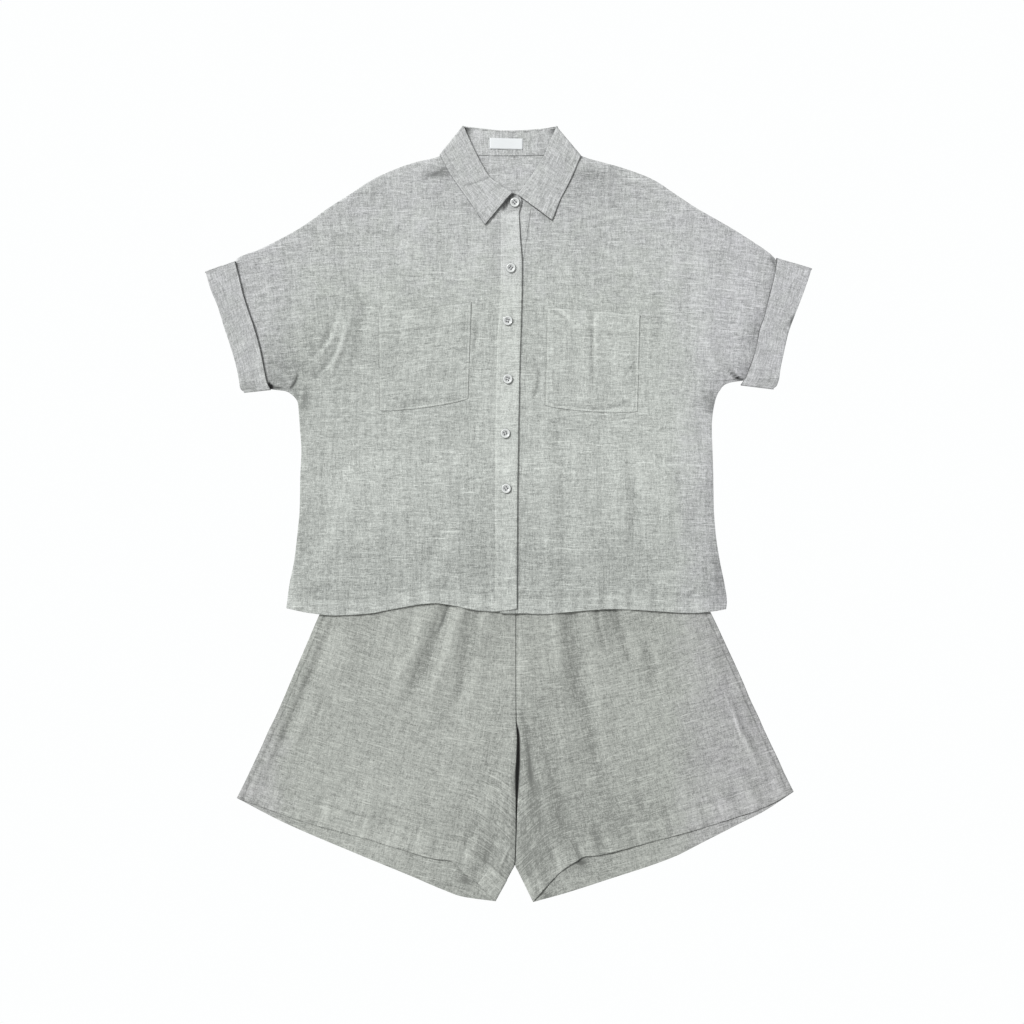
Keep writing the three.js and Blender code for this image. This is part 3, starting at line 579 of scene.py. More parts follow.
# ---------------------------------------------------------------- shorts, inner patch
# A small facing patch of the same linen, turned over the right leg's hem at the inseam and sewn down.
PATCH = [(-38.6, -469), (-16.2, -491.3), (-1.6, -465), (-22, -446.5)]


def four_sided(corners, u, v):
    """Net of points in a four-cornered outline: u runs along its first side and v away from that side."""
    a, b, c, d = np.array(corners) * mm
    return ((1 - v) * (a[k] + (b[k] - a[k]) * u) + v * (d[k] + (c[k] - d[k]) * u) for k in range(2))


def resting_on(pieces):
    """A function that gives the height of the highest of these pieces at a point."""
    seen = bpy.context.evaluated_depsgraph_get()
    trees = [BVHTree.FromObject(piece, seen) for piece in pieces]

    def height(x, y):
        hits = [tree.ray_cast(Vector((x, y, 0.1)), Vector((0, 0, -1)))[0] for tree in trees]
        return max((hit.z for hit in hits if hit is not None), default=0.0)

    return height


share = np.linspace(0, 1, 15)
x, y = four_sided(PATCH, share[None, :], share[:, None])
middle_x, middle_y = np.array(PATCH).mean(0) * mm
below = np.vectorize(resting_on([leg_front["right"][0]]))
heights = below(middle_x + (x - middle_x) * 0.94, middle_y + (y - middle_y) * 0.94)
bias = (x * 0.7 - y * 0.7, x * 0.7 + y * 0.7)
patch = lay_cloth("inseam_patch", x, y, heights + 0.45 * mm, bias, tone=0.07, wall=0.4 * mm)
patch.data.materials.append(shorts_linen)
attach(patch, "root")

# ---------------------------------------------------------------- shorts, waistband
# A doubled band gathered on elastic and folded flat. The shirt covers all of it, so its gathers are plain
# and even.
WAIST = {"right": -168 * mm, "left": 187 * mm, "top": 17 * mm, "bottom": -14 * mm}
BAND_TOP = 5.0 * mm


def fold_round(name, stations, profile, ripple=None, tone=0.0, wall=CLOTH, lengthwise=True):
    """A band of cloth that turns over and comes back beneath itself.

    A station is (a x, a y, b x, b y, out x, out y, turn, bottom, top). At turn 0 it lies uppermost, at pi
    beneath.
    A profile point is (share from a to b, overhang past it, depth below the outer face).
    """
    s = np.array(stations)
    share, overhang, depth = (np.array(profile)[None, :, k] for k in range(3))
    run_x, run_y = s[:, 2:3] - s[:, 0:1], s[:, 3:4] - s[:, 1:2]
    wide = np.hypot(run_x, run_y)
    reach = share + overhang / wide
    radius = (s[:, 8:9] - s[:, 7:8]) / 2 - depth
    if ripple is not None:
        radius = radius + ripple
    sine, cosine = np.sin(s[:, 6:7]), np.cos(s[:, 6:7])
    x = s[:, 0:1] + run_x * reach + s[:, 4:5] * sine * radius
    y = s[:, 1:2] + run_y * reach + s[:, 5:6] * sine * radius
    z = (s[:, 8:9] + s[:, 7:8]) / 2 + cosine * radius
    steps = np.sqrt(sum(np.diff(v[:, v.shape[1] // 2]) ** 2 for v in (x, y, z)))
    along = np.concatenate([[0], np.cumsum(steps)])[:, None] + 0 * x
    crossed = np.concatenate([[0], np.cumsum(np.abs(np.diff(share[0])) + 0.004)])
    across = crossed[None, :] * wide.mean() + 0 * x
    piece = lay_cloth(name, x, y, z, (along, across) if lengthwise else (across, along), tone, wall)
    flattest = int(np.argmin(np.abs(s[:, 6])))
    faces = piece.data.polygons
    upper = faces[min(flattest * (x.shape[1] - 1) + x.shape[1] // 2, len(faces) - 1)]
    if upper.normal.z * np.cos(s[flattest, 6]) < 0:
        piece.data.flip_normals()
    return piece


def spread(rows, count, *end):
    """Stations spread evenly along a smooth line through a few rows of (a x, a y, b x, b y), in mm."""
    table = np.array(rows) * mm
    walked = np.concatenate([[0], np.cumsum(np.hypot(*np.diff((table[:, :2] + table[:, 2:]) / 2, axis=0).T))])
    at = np.linspace(0, walked[-1], count)
    lines = [through(walked, table[:, k], at) for k in range(4)]
    return [[*row, *end] for row in np.stack(lines, 1)]


def turned_over(station, out, start, end, count=7):
    """Stations that carry a band round a fold, from one side to the other."""
    angles = np.linspace(start, end, count + 2)[1:-1]
    return [[*station[:4], *out, angle, *station[7:]] for angle in angles]


def flat_ring(rows, bottom, top, last_out, first_out, count):
    """Stations of a band sewn to a ring and pressed flat: along, round a fold, back beneath and round."""
    upper = spread(rows, 120, 0, 0, 0.0, bottom, top)
    lower = spread(rows[::-1], 120, 0, 0, np.pi, bottom, top)
    far_fold = turned_over(upper[-1], last_out, 0, np.pi, count)
    near_fold = turned_over(lower[-1], first_out, np.pi, 2 * np.pi, count)
    return upper + far_fold + lower + near_fold + [[*upper[0][:6], 2 * np.pi, *upper[0][7:]]]


def along_band(stations, profile):
    """Number of each station, share across of each profile point and turn of each station."""
    turn = np.array([row[6] for row in stations])[:, None]
    return np.arange(len(stations))[:, None], np.array([point[0] for point in profile])[None, :], turn


band_rows = [(x, WAIST["top"] / mm, x, WAIST["bottom"] / mm) for x in np.linspace(-165.5, 184.5, 5)]
band = flat_ring(band_rows, 0.1 * mm, BAND_TOP, (1, 0), (1, 0), 7)
profile = [(t, 0, 0.5 * mm * (1 - np.sqrt(1 - (2 * t - 1) ** 6 * 0.99))) for t in np.linspace(0, 1, 11)]
gathers = -0.25 * mm * (1 + np.sin(np.arange(len(band)) * 0.9))[:, None]
waistband = fold_round("waistband", band, profile, gathers, tone=0.05, wall=1.8 * mm)
set_in_place(waistband, shorts_linen, "shorts_linen", "waistband")

# ---------------------------------------------------------------- shorts, stitching
# Tone-on-tone thread: one row round each leg's hem, beside each side seam, and beside the centre seam's top.
STITCH = (2.3 * mm, 0.5 * mm, 0.34 * mm)    # length, width and height
STITCH_PITCH = 3.0 * mm

ball = bmesh.new()
bmesh.ops.create_icosphere(ball, subdivisions=1, radius=0.5)
ball_points = np.array([v.co for v in ball.verts])
ball_faces = np.array([[v.index for v in face.verts] for face in ball.faces])
ball.free()


def two_tone(material, share, darker, lighter):
    """A colour between two others."""
    ramp = add_node(material, "ValToRGB", {"Fac": share})
    for element, colour in zip(ramp.color_ramp.elements, (darker, lighter)):
        element.color = (*colour, 1)
    return ramp.outputs["Color"]


def spun(name, roughness, scale, darker, lighter):
    """Thread whose colour is uneven along it."""
    material = surfaced(name, Roughness=roughness)
    place = add_node(material, "TexCoord").outputs["Object"]
    strand = add_node(material, "TexNoise", {"Scale": scale, "Vector": place})
    feed(material, "Base Color", two_tone(material, strand.outputs["Fac"], darker, lighter))
    return material


def sew(name, lines, cloths):
    """Rows of stitches along lines of (x, y), lying on these pieces of cloth, as one mesh."""
    height = resting_on(cloths)
    length, width, thick = STITCH
    points, faces = [], []
    for line in lines:
        line = np.array(line)
        walked = np.concatenate([[0], np.cumsum(np.hypot(*np.diff(line, axis=0).T))])
        for at in np.arange(STITCH_PITCH / 2, walked[-1], STITCH_PITCH):
            reaches = (at - length / 2, at + length / 2)
            ends = [[np.interp(reach, walked, line[:, k]) for k in range(2)] for reach in reaches]
            head, tail = (Vector((*end, height(*end))) for end in ends)
            along = tail - head
            if along.length > 2 * length:
                continue
            side = along.cross(Vector((0, 0, 1))).normalized() * width
            up = side.cross(along).normalized() * thick
            frame_of = np.array([along, side, up])
            faces.append(ball_faces + sum(len(p) for p in points))
            points.append(ball_points @ frame_of + np.array((head + tail) / 2) + (0, 0, 0.05 * mm))
    mesh = bpy.data.meshes.new(name)
    mesh.from_pydata(np.concatenate(points), [], np.concatenate(faces).tolist())
    mesh.shade_smooth()
    mesh.materials.append(sewing_thread)
    piece = put_in(name, mesh)
    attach(piece, "root")


def line_at(x, y, level, distance):
    """The line across a net of points where its level, rising with the rows, reaches a distance."""
    return [[np.interp(distance, level[:, c], v[:, c]) for v in (x, y)] for c in range(x.shape[1])]


sewing_thread = spun("sewing_thread", 0.6, 900, (0.30, 0.31, 0.29), (0.44, 0.46, 0.43))
shorts_rows = []
for side, (front, x, y, above_hem, inner, outer) in leg_front.items():
    shorts_rows.append(line_at(x, y, above_hem, SHORTS_HEM)[2:-2])
    by_side = outer.T if outer[0, 0] < outer[0, -1] else outer.T[::-1]
    net_x, net_y = (v.T if outer[0, 0] < outer[0, -1] else v.T[::-1] for v in (x, y))
    shorts_rows.append([p for p in line_at(net_x, net_y, by_side, 8 * mm) if p[1] < -100 * mm][6:])
shorts_rows.append([(15.5 * mm, -118 * mm), (15.5 * mm, -152 * mm)])
sew("shorts_stitching", shorts_rows, [piece[0] for piece in leg_front.values()])

# ---------------------------------------------------------------- shirt, back
# One layer, with the sleeves cut in one with the body. It lies on the shorts at the hem and on the table
# elsewhere. Its inner face shows inside the neck.
# Outline: height, right edge, left edge, in mm, from the neck over shoulder, sleeve end and side to the hem.
OUTLINE = [
    (458, -79, 84), (452, -92, 98), (448, -111, 112), (439, -140, 145), (424, -173, 184), (407, -199, 210),
    (386, -232, 242), (377, -244, 258), (362, -266, 284), (341, -305, 317), (334, -320, 327),
    (327, -339.5, 335.5), (321.5, -346, 339.5), (300, -341, 335), (270, -332, 327), (240, -322.5, 320),
    (205, -312.5, 311), (182, -308, 304), (170, -305, 297), (167, -304.3, 282), (164, -303.5, 275),
    (160, -301, 270.5), (157.5, -294, 269), (155.5, -282.5, 267.5), (151, -275, 265), (147, -271, 263.4),
    (141, -267.5, 261.8), (125, -266, 259), (110, -265, 258), (80, -263, 259), (45, -264.5, 260),
    (10, -265, 260.5), (-25, -268, 263), (-59, -272, 268), (-90, -278, 274), (-113, -281, 277),
    (-122, -282, 276),
]
HIP = [(-14, -168, 187), (-92, -222, 239), (-130, -241, 259)]
SHIRT_BOTTOM = -122 * mm
SHIRT_HEM = 19 * mm
LIE_OVER_SHORTS, LIE_OVER_BAND = 3.6 * mm, 2.2 * mm
# Painted shade and light of the shirt's folds: tone per metre of a fold's rise.
SHIRT_FOLD_SHADING = 60

shirt_levels = np.concatenate([
    SHIRT_BOTTOM / mm + np.array([0, 0.5, 1.5, 3, 6, 10, 14, 17.6, 18.6, 19.5, 20.6, 23]),
    np.arange(-95, 138, 3.3), np.arange(139, 174, 1.3), np.arange(175, 456, 3.1), [456.3, 457.3, 458]]) * mm
outline_heights, outline_right, outline_left = np.array(OUTLINE)[::-1].T * mm
right_edge = through(outline_heights, outline_right, shirt_levels)
left_edge = through(outline_heights, outline_left, shirt_levels)


def beyond(x, y, x1, x2, y1, y2):
    """Distance outside a box."""
    return np.hypot(np.maximum(np.maximum(x1 - x, x - x2), 0), np.maximum(np.maximum(y1 - y, y - y2), 0))


def shirt_floor(x, y):
    """Height of what the shirt lies on: the shorts, their waistband, and the hidden back of the collar."""
    hip_y, hip_right, hip_left = np.array(HIP)[::-1].T * mm
    shorts = np.interp(y, hip_y, hip_right), np.interp(y, hip_y, hip_left), -0.6, WAIST["top"]
    band = WAIST["right"], WAIST["left"], WAIST["bottom"], WAIST["top"]
    leaf = -88 * mm, 95 * mm, 436 * mm, 500 * mm
    lifts = ((LIE_OVER_SHORTS, shorts), (LIE_OVER_BAND, band), (LEVEL, leaf))
    return sum(lift * until(beyond(x, y, *box), 26 * mm, 66 * mm) for lift, box in lifts)


def shirt_threads(x, y):
    """Places of the weft and warp in the shirt: straight in the body, dropping towards the sleeve ends."""
    right = np.minimum(x + 175 * mm, 0)
    left = np.maximum(x - 190 * mm, 0)
    drop = 0.55 * right ** 2 + 0.5 * left ** 2
    turn = 1.1 * right + 1.0 * left
    return x - turn * (y - 250 * mm) * ease(y, 60 * mm, 200 * mm), y + drop * ease(y, 60 * mm, 200 * mm)


shirt_linen = linen("shirt_linen", (0.230, 0.240, 0.226), (0.625, 0.647, 0.612))
across = np.concatenate([[0, 0.004, 0.01], np.linspace(0.02, 0.98, 118), [0.99, 0.996, 1]])
inset = 1.6 * mm
level = shirt_levels[:, None]
x = (right_edge + inset)[:, None] + (left_edge - right_edge - 2 * inset)[:, None] * across
from_side = np.minimum(x - right_edge[:, None], left_edge[:, None] - x)
y = level + 0 * x + 10 * mm * until(level, SHIRT_BOTTOM, -80 * mm)
z = shirt_floor(x, y) + CLOTH + 0.05 * mm
z = z + 0.10 * mm + 0.12 * mm * (1 + slack(x, y, 60 * mm, 41)) * ease(from_side, 2 * mm, 20 * mm)
shirt_back = lay_cloth("shirt_back", x, y, z, shirt_threads(x, y), tone=0.04)
set_in_place(shirt_back, shirt_linen, "shirt_linen", "shirt_back")

# ---------------------------------------------------------------- shirt, fronts
# Two fronts, each cut with its half sleeve, joined to the back along shoulders, underarms and sides.
# The cloth is slack: it falls in upright folds, and gathers into sharp creases at the underarms.
RIGHT_SEAM = [
    (458, -66), (439, -60), (424, -52), (407, -40), (392, -14), (384, -10), (377, -10), (300, -10),
    (205, -15), (80, -17), (-122, -18),
]
LEFT_EDGE = [
    (458, 69), (439, 64), (424, 58), (407, 46), (400, 34), (395, 4), (390, -6), (300, -7), (-122, -6),
]
RIGHT_HEM = [
    (-282, -120), (-252, -126), (-222, -129), (-181, -127), (-151, -122), (-121, -116.5), (-95, -113.5),
    (-70, -116.5), (-44, -122), (-20, -124), (-3, -122.5), (11, -120.5),
]
LEFT_HEM = [
    (-20, -125), (-3, -126.5), (20, -126.3), (40, -127.6), (80, -124.5), (131, -121), (161, -122),
    (192, -124), (232, -126), (258, -124), (276, -121),
]
SHIRT_CREASES = [
    # shoulder seams
    (-86, 429, -138, 421, -190, 404, 2.0, -0.6), (88, 431, 138, 422, 190, 405, 2.0, -0.6),
    # right underarm and sleeve
    (-269, 178, -271, 166, -280, 154, 1.7, -2.4), (-303, 196, -300, 178, -296, 164, 6, -1.6),
    (-200, 252, -212, 214, -226, 176, 5, 2.9, -0.3), (-215, 252, -230, 214, -266, 172, 3, 2.0, 0.2),
    (-219, 248, -240, 205, -272, 164, 4, -1.5), (-174, 285, -190, 226, -199, 182, 7, -1.9),
    (-186, 240, -188, 205, -190, 176, 7, -1.2), (-266, 156, -267, 145, -266, 134, 2.5, -2.0),
    (-160, 300, -170, 250, -178, 200, 12, 1.4), (-258, 300, -262, 260, -270, 215, 13, 1.0),
    (-300, 290, -298, 250, -290, 200, 12, 0.8),
    # right front, from side to placket
    (-231, 0, -234, -22, -236, -46, 8, -1.2), (-215, 30, -226, -20, -238, -70, 14, 1.0),
    (-130, 142, -131, 126, -132, 110, 4, -1.0), (-77, 110, -73, 64, -69, 15, 6, -1.4),
    (-92, 96, -86, 50, -80, 5, 10, 0.9), (-83, -12, -92, -40, -107, -64, 7, -1.4),
    (-68, -8, -80, -50, -96, -92, 10, 1.0), (-44.5, 244, -40, 226, -46, 204, 2.2, -2.8),
    (-170, 60, -168, 0, -172, -60, 16, 1.2), (-130, 60, -136, 0, -134, -70, 12, 0.8),
    (-100, 400, -118, 350, -124, 300, 16, 1.0), (-92, 415, -84, 400, -72, 392, 8, -0.8),
    # left front, from placket to side
    (34, 196, 38, 166, 28, 142, 1.8, -2.8), (58, 130, 67, 40, 70, -118, 7, -1.3),
    (44, 120, 50, 20, 52, -118, 10, 0.9), (82, 110, 88, 20, 90, -118, 11, 0.9),
    (148, 82, 159, 17, 152, -48, 6, -1.6, 0.2), (134, 80, 142, 10, 136, -70, 9, 1.1),
    (166, 84, 178, 20, 172, -60, 10, 1.1), (209, 90, 213, 55, 216, 20, 6, -0.9),
    (198, 88, 200, 40, 202, -10, 10, 0.8), (107, 266, 106, 200, 108, 140, 3.5, -1.1),
    (116, 378, 116, 338, 115, 296, 8, -1.0), (156, 332, 155, 306, 157, 280, 6, -1.0),
    (192, 292, 193, 250, 190, 208, 7, -1.2), (223, 340, 225, 285, 222, 226, 7, -0.8),
    (208, 336, 210, 280, 206, 220, 11, 0.7), (240, 300, 246, 240, 250, 190, 12, 1.2),
    (67, -98, 68, -108, 68, -122, 4, -1.0), (119, -94, 119, -108, 119, -122, 4, -1.0),
    (154, -94, 154, -108, 154, -122, 4, -1.0), (256, -50, 262, -80, 268, -118, 5, 1.2),
    (246, -40, 252, -80, 258, -120, 5, -0.8), (98, 400, 104, 370, 106, 330, 14, 0.8),
    (270, 181, 284, 181, 290, 170, 2.2, -2.4), (262, 172, 268, 163, 274, 158, 2.6, 0.9),
    (250, 230, 258, 200, 270, 176, 5, 1.4), (300, 280, 296, 240, 286, 195, 12, 1.0),
]


# Painted light and shade in broad lighter and darker places, rows as for the shorts.
SHIRT_SHADES = [
    (-92, 431, 15, 5, -0.5), (-80, 436, 8, 6, -0.4), (106, 431, 18, 8, -0.28), (324, 300, 8, 22, -0.14),
    (312, 232, 7, 12, -0.22), (298, 180, 10, 18, -0.16), (-296, 168, 18, 14, -0.14),
    (-272, 190, 60, 60, -0.18), (312, 190, 26, 60, -0.16), (104, 412, 48, 24, -0.15),
    (-176, 410, 34, 22, -0.10), (90, -70, 90, 70, -0.04), (-20, 60, 60, 120, -0.03), (200, 300, 80, 60, 0.03),
    (-120, 300, 90, 60, 0.03), (-195, 230, 16, 40, -0.08), (-185, 262, 66, 18, -0.10),
    (-90, 256, 30, 16, -0.06), (215, 105, 30, 40, 0.06), (224, -70, 22, 60, 0.10), (-240, 200, 14, 26, -0.08),
    (-235, 40, 20, 50, -0.05),
]
# Painted shade and highlights of sharp lines pressed in the same cloth: rows as for the creases, with a tone
# in place of the rise.
SHARP_FOLDS = [
    (-217, 256, -222, 228, -240, 204, 1.7, 0.20), (-238, 208, -254, 190, -270, 175, 1.5, 0.16),
    (-213, 236, -223, 204, -246, 177, 2.8, -0.34), (-207, 236, -216, 204, -242, 171, 2.4, 0.20),
    (-221, 256, -227, 236, -238, 216, 3.0, -0.14), (-302, 194, -280, 189, -250, 187, 5, -0.14),
    (-268, 180, -271, 167, -281, 156, 1.2, -0.80), (-302, 164, -294, 160, -286, 161, 1.2, -0.60),
    (-253, 164, -258, 149, -263, 132, 2.8, -0.36), (-114, 423, -96, 430, -76, 442, 2.6, -0.26),
    (39, 198, 38, 168, 28, 142, 1.3, -0.22), (-40, 244, -42, 228, -47, 206, 1.3, -0.22),
    (278, 183, 288, 174, 299, 167, 1.4, -1.10), (246, 160, 249, 146, 251, 128, 4, -0.14),
]
# Painted shade at the cloth's very edges, where the seams pull it down, and in the corners by the cuffs.
EDGE_SHADES = [
    (-266, 132, 16, 34, -0.22), (258, 138, 12, 16, -0.18), (-268, 10, 16, 60, -0.13),
    (268, -60, 12, 90, -0.30), (-276, -60, 12, 40, -0.10), (259, 140, 4, 12, -0.40),
    (-304, 165, 1.6, 2.4, -1.6), (-301.5, 162.2, 2.4, 2.0, -1.7), (-301, 159, 2.4, 2.0, -1.6),
    (-294, 159.4, 6, 1.0, -0.7), (334, 322, 3, 3, -0.5), (337, 317, 2.0, 5, -0.8),
    (290.5, 172.4, 2.4, 1.5, -1.1), (296, 169.6, 1.6, 1.8, -1.0), (-330, 250, 14, 60, -0.04),
]


def shirt_lie(x, y):
    """Height of the fronts' upper face, from what they lie on, their slack and creases, and its tone of
    painted shade and light.
    """
    middle = until(np.abs(x), 30 * mm, 70 * mm)
    puff = (0.75 - 0.35 * middle) * mm + (0.45 - 0.3 * middle) * mm * slack(x, y, 58 * mm, 51)
    folds = creases(x, y, SHIRT_CREASES)
    # Tone: painted shade and light of the folds and broad patches, and darker towards the bottom.
    tone = SHIRT_FOLD_SHADING * folds + painted_shade_spots(x, y, SHIRT_SHADES) - 0.14 * ease(-y, -60 * mm, 100 * mm)
    return shirt_floor(x, y) + LEVEL + CLOTH + puff + folds, tone


def edge_line(rows, levels):
    """Places of an edge at these heights, from its rows of height and x, in mm."""
    heights, places = np.array(rows)[::-1].T * mm
    return through(heights, places, levels)


def above_hem_line(level, x, hem):
    """Rows of points that follow a hem line at the bottom and are level higher up."""
    hem_x, hem_y = np.array(hem).T * mm
    return level + until(level, -98 * mm, -20 * mm) * (through(hem_x, hem_y, x) - SHIRT_BOTTOM)


right_seam, left_seam = edge_line(RIGHT_SEAM, shirt_levels), edge_line(LEFT_EDGE, shirt_levels)
shirt_front = {}
for side, hem, hand in (("right", RIGHT_HEM, -1), ("left", LEFT_HEM, 1)):
    level = shirt_levels[:, None]
    below_neckline = until(level, 377 * mm, 392 * mm)
    tuck = 3 * mm * below_neckline
    cuff_from, cuff_to = (156 * mm, 159 * mm) if hand < 0 else (164 * mm, 174 * mm)
    under_cuff = 9 * mm * ease(level, cuff_from, cuff_to) * until(level, 312 * mm, 322 * mm)
    share = edge_columns(112)
    share = np.concatenate([share[:5], np.linspace(0.024, 0.15, 20), share[share > 0.155]])
    if hand < 0:
        outer_edge = right_edge
        start, end = right_edge[:, None] - under_cuff, right_seam[:, None] + tuck
        outer, seam = start, end
    else:
        share = 1 - share[::-1]
        outer_edge = left_edge
        start, end = left_seam[:, None] - tuck, left_edge[:, None] + under_cuff
        seam, outer = start, end
    x = start + (end - start) * share
    y = above_hem_line(level, x, hem)
    slope = np.gradient(outer_edge, shirt_levels)[:, None]
    from_outer = np.abs(x - outer) / np.sqrt(1 + slope ** 2)
    from_seam = np.abs(x - seam)
    above_hem = level - SHIRT_BOTTOM + 0 * x
    turned = until(above_hem, SHIRT_HEM - 0.6 * mm, SHIRT_HEM + 1.0 * mm)
    pulls = puckers(x, 65 + hand) * until(above_hem, 17 * mm, 34 * mm)
    groove = ridge(above_hem, SHIRT_HEM + 0.8 * mm, 1.1 * mm)
    small = crinkles(x, y, 61 + hand, 150, 0.3) * ease(from_outer, 2 * mm, 14 * mm)
    held = ease(from_outer, 0.5 * mm, 12 * mm)
    flat = shirt_floor(x, y) + LEVEL + CLOTH
    lie, shade = shirt_lie(x, y)
    z = flat + (lie - flat) * (0.25 + 0.75 * held) + small + (0.4 * turned + 0.2 * pulls - 0.2 * groove) * mm
    z = z + turn_down(from_outer, 2.2 * mm, 1.3 * mm)
    z = z - 0.8 * mm * until(from_outer, 2 * mm, 12 * mm) * (hand > 0)
    z = z - 0.5 * mm * until(from_seam, 0, 5 * mm) * below_neckline
    z = np.maximum(z, shirt_floor(x, y) + 1.25 * mm)
    # Painted shade and light of the folds, broad patches, edges, cuff corners, sharp folds, crinkles and hem
    # puckers.
    tone = shade * held + painted_shade_spots(x, y, EDGE_SHADES) + painted_crease_lines(x, y, SHARP_FOLDS)
    tone = tone + SHIRT_FOLD_SHADING * small + 0.10 * turned + 0.05 * pulls - 0.10 * groove
    front = lay_cloth("shirt_front_" + side, x, y, z, shirt_threads(x, y), tone)
    set_in_place(front, shirt_linen, "shirt_linen", "shirt_front_" + side)
    shirt_front[side] = (front, x, y, above_hem)

# ---------------------------------------------------------------- cuffs
# Each sleeve ends in a doubled cuff, turned up over the sleeve, pressed flat and open at its outer end.
# It stands proud of the sleeve, so a deep shadow lies along its inner edge.
# For each cuff: rows down the sleeve's end, of inner edge x, y and outer fold x, y, in mm, then the ways its
# lower and its upper end turn, its rise over the sleeve, its height, and how dark the painted shadow on its
# inner edge is.
CUFFS = {
    "right": (
        [(-346.5, 320.5, -384.5, 307), (-342, 302, -378, 285), (-336.6, 280, -369, 263),
         (-330, 258, -361, 237), (-323.2, 239, -354, 216), (-313.6, 203, -345.5, 187),
         (-307.4, 172, -341.6, 167), (-306, 166, -340.8, 161), (-304, 161.6, -339.2, 157.2),
         (-302, 158.4, -336, 154.8)],
        (0.03, -0.6), (-0.2, 0.5), 0.5, 5.7 * mm, 1.0),
    "left": (
        [(340, 324.5, 384.5, 311), (337, 303, 377.5, 289.5), (331.5, 281, 369.5, 268), (327, 262, 362.8, 251),
         (323.6, 248, 359, 241), (318.6, 236, 355.5, 231), (315.8, 222, 352, 217), (313, 208, 349.6, 206),
         (304.5, 183, 344.6, 181.5), (301, 174, 343.4, 172), (298, 169, 341.6, 166),
         (296.4, 166.2, 340.2, 162.4), (294.8, 164.4, 336.6, 159.2)],
        (-0.06, -0.6), (0.1, 0.4), 0.2, 6.2 * mm, 0.88),
}
CUFF_STEP = 0.65        # walk counts round the cuff, for its ripples and pinches
for side, (rows, bottom_out, top_out, lift, height, line) in CUFFS.items():
    ring = flat_ring(rows, 0.5 * mm, height, bottom_out, top_out, 9)
    outer_face = [(t, 0, d * mm) for t, d in ((0, 0.25), (0.012, 0.08), (0.03, 0), (0.08, 0))]
    outer_face += [(t, 0, 0) for t in np.linspace(0.14, 0.95, 16)]
    angles = np.linspace(0.1, np.pi, 8)
    bend = [(1, (-0.8 + 0.8 * np.sin(a)) * mm, (0.75 - 0.75 * np.cos(a)) * mm) for a in angles]
    inner_face = [(t, 0, 1.5 * mm) for t in (0.93, 0.8, 0.6, 0.45)]
    profile = outer_face + bend + inner_face
    walk, share, turn = along_band(ring, profile)
    walk = walk * CUFF_STEP
    upside = np.clip(np.cos(turn), 0, 1)
    wave = lift * until(share, 0, 0.45) * (0.75 + 0.25 * np.sin(walk * 0.21 + 1.0))
    wave = wave + 0.28 * np.sin(walk * 0.16 + 2.2 * share) + 0.16 * np.sin(walk * 0.47 + 5 * share)
    if side == "left":
        wave = wave - 1.5 * ridge(walk, 37, 4.0) * ease(share, 0.78, 1.0)
        wave = wave - 0.5 * ridge(walk, 67, 1.4)
    else:
        wave = wave - 0.5 * ridge(walk, 74.5, 1.2) * ease(share, 0.1, 0.5)
    ripple = wave * upside * mm * (share < 0.999) + 0 * share
    # Painted shadow along the cuff's inner edge, a little uneven along it.
    at_edge = np.array([1.0, 0.75] + [0] * (len(profile) - 2))[None, :]
    painted_rim = line * at_edge * (upside > 0.5) * (1 + 0.25 * np.sin(walk * 0.3 + 1))
    # Painted shade at pinches and folds of the cuff, and a faint painted light strip near its inner edge.
    tone = -1.45 * painted_rim - 0.16 * ridge(walk, 74, 2.2) * ease(share, 0.0, 0.3)
    tone = tone + 0.05 * upside * ridge(share, 0.12, 0.08)
    if side == "left":
        tone = tone - 0.9 * ridge(walk, 34, 4.2) * ease(share, 0.88, 0.94) * upside
    else:
        tone = tone - 0.3 * ridge(walk, 75.4, 0.9) * upside * ease(share, 0.2, 0.9)
    cuff = fold_round("cuff_" + side, ring, profile, ripple, tone, wall=0.7 * mm)
    set_in_place(cuff, shirt_linen, "shirt_linen", "cuff_" + side)

# ---------------------------------------------------------------- pockets
# Two patch pockets with a turned hem at the mouth, sewn on round three sides close to the edge.
# Corners: mouth's left end, its right end, lower right, lower left, in mm, with dips along the lower edge.
POCKETS = {
    "right": [(-165, 253.5), (-47, 268.5), (-51, 145), (-164, 130)],
    "left": [(49, 261.5), (167, 252), (164, 128.5), (46, 136.5)],
}
# Painted shade and highlights of sharp lines pressed in the pockets: rows as for the creases, with a tone in
# place of the rise.
POCKET_FOLDS = {
    "right": [
        (-151, 258, -149, 248, -148, 236, 1.5, -0.30), (-140, 150, -118, 144, -96, 146, 3, -0.14),
    ],
    "left": [
        (108, 268, 105, 214, 108, 146, 1.8, -0.20), (112, 266, 110, 225, 113, 176, 1.8, 0.20),
        (46, 265, 66, 259, 82, 240, 1.5, 0.50), (50, 259, 66, 252, 78, 236, 1.5, -0.34),
        (88, 137, 130, 136, 168, 157, 2.2, -0.30), (160, 194, 154, 184, 144, 170, 1.6, -0.28),
        (120, 128, 146, 134, 164, 146, 2.4, 0.16), (50, 236, 70, 234, 88, 240, 1.6, 0.18),
    ],
}
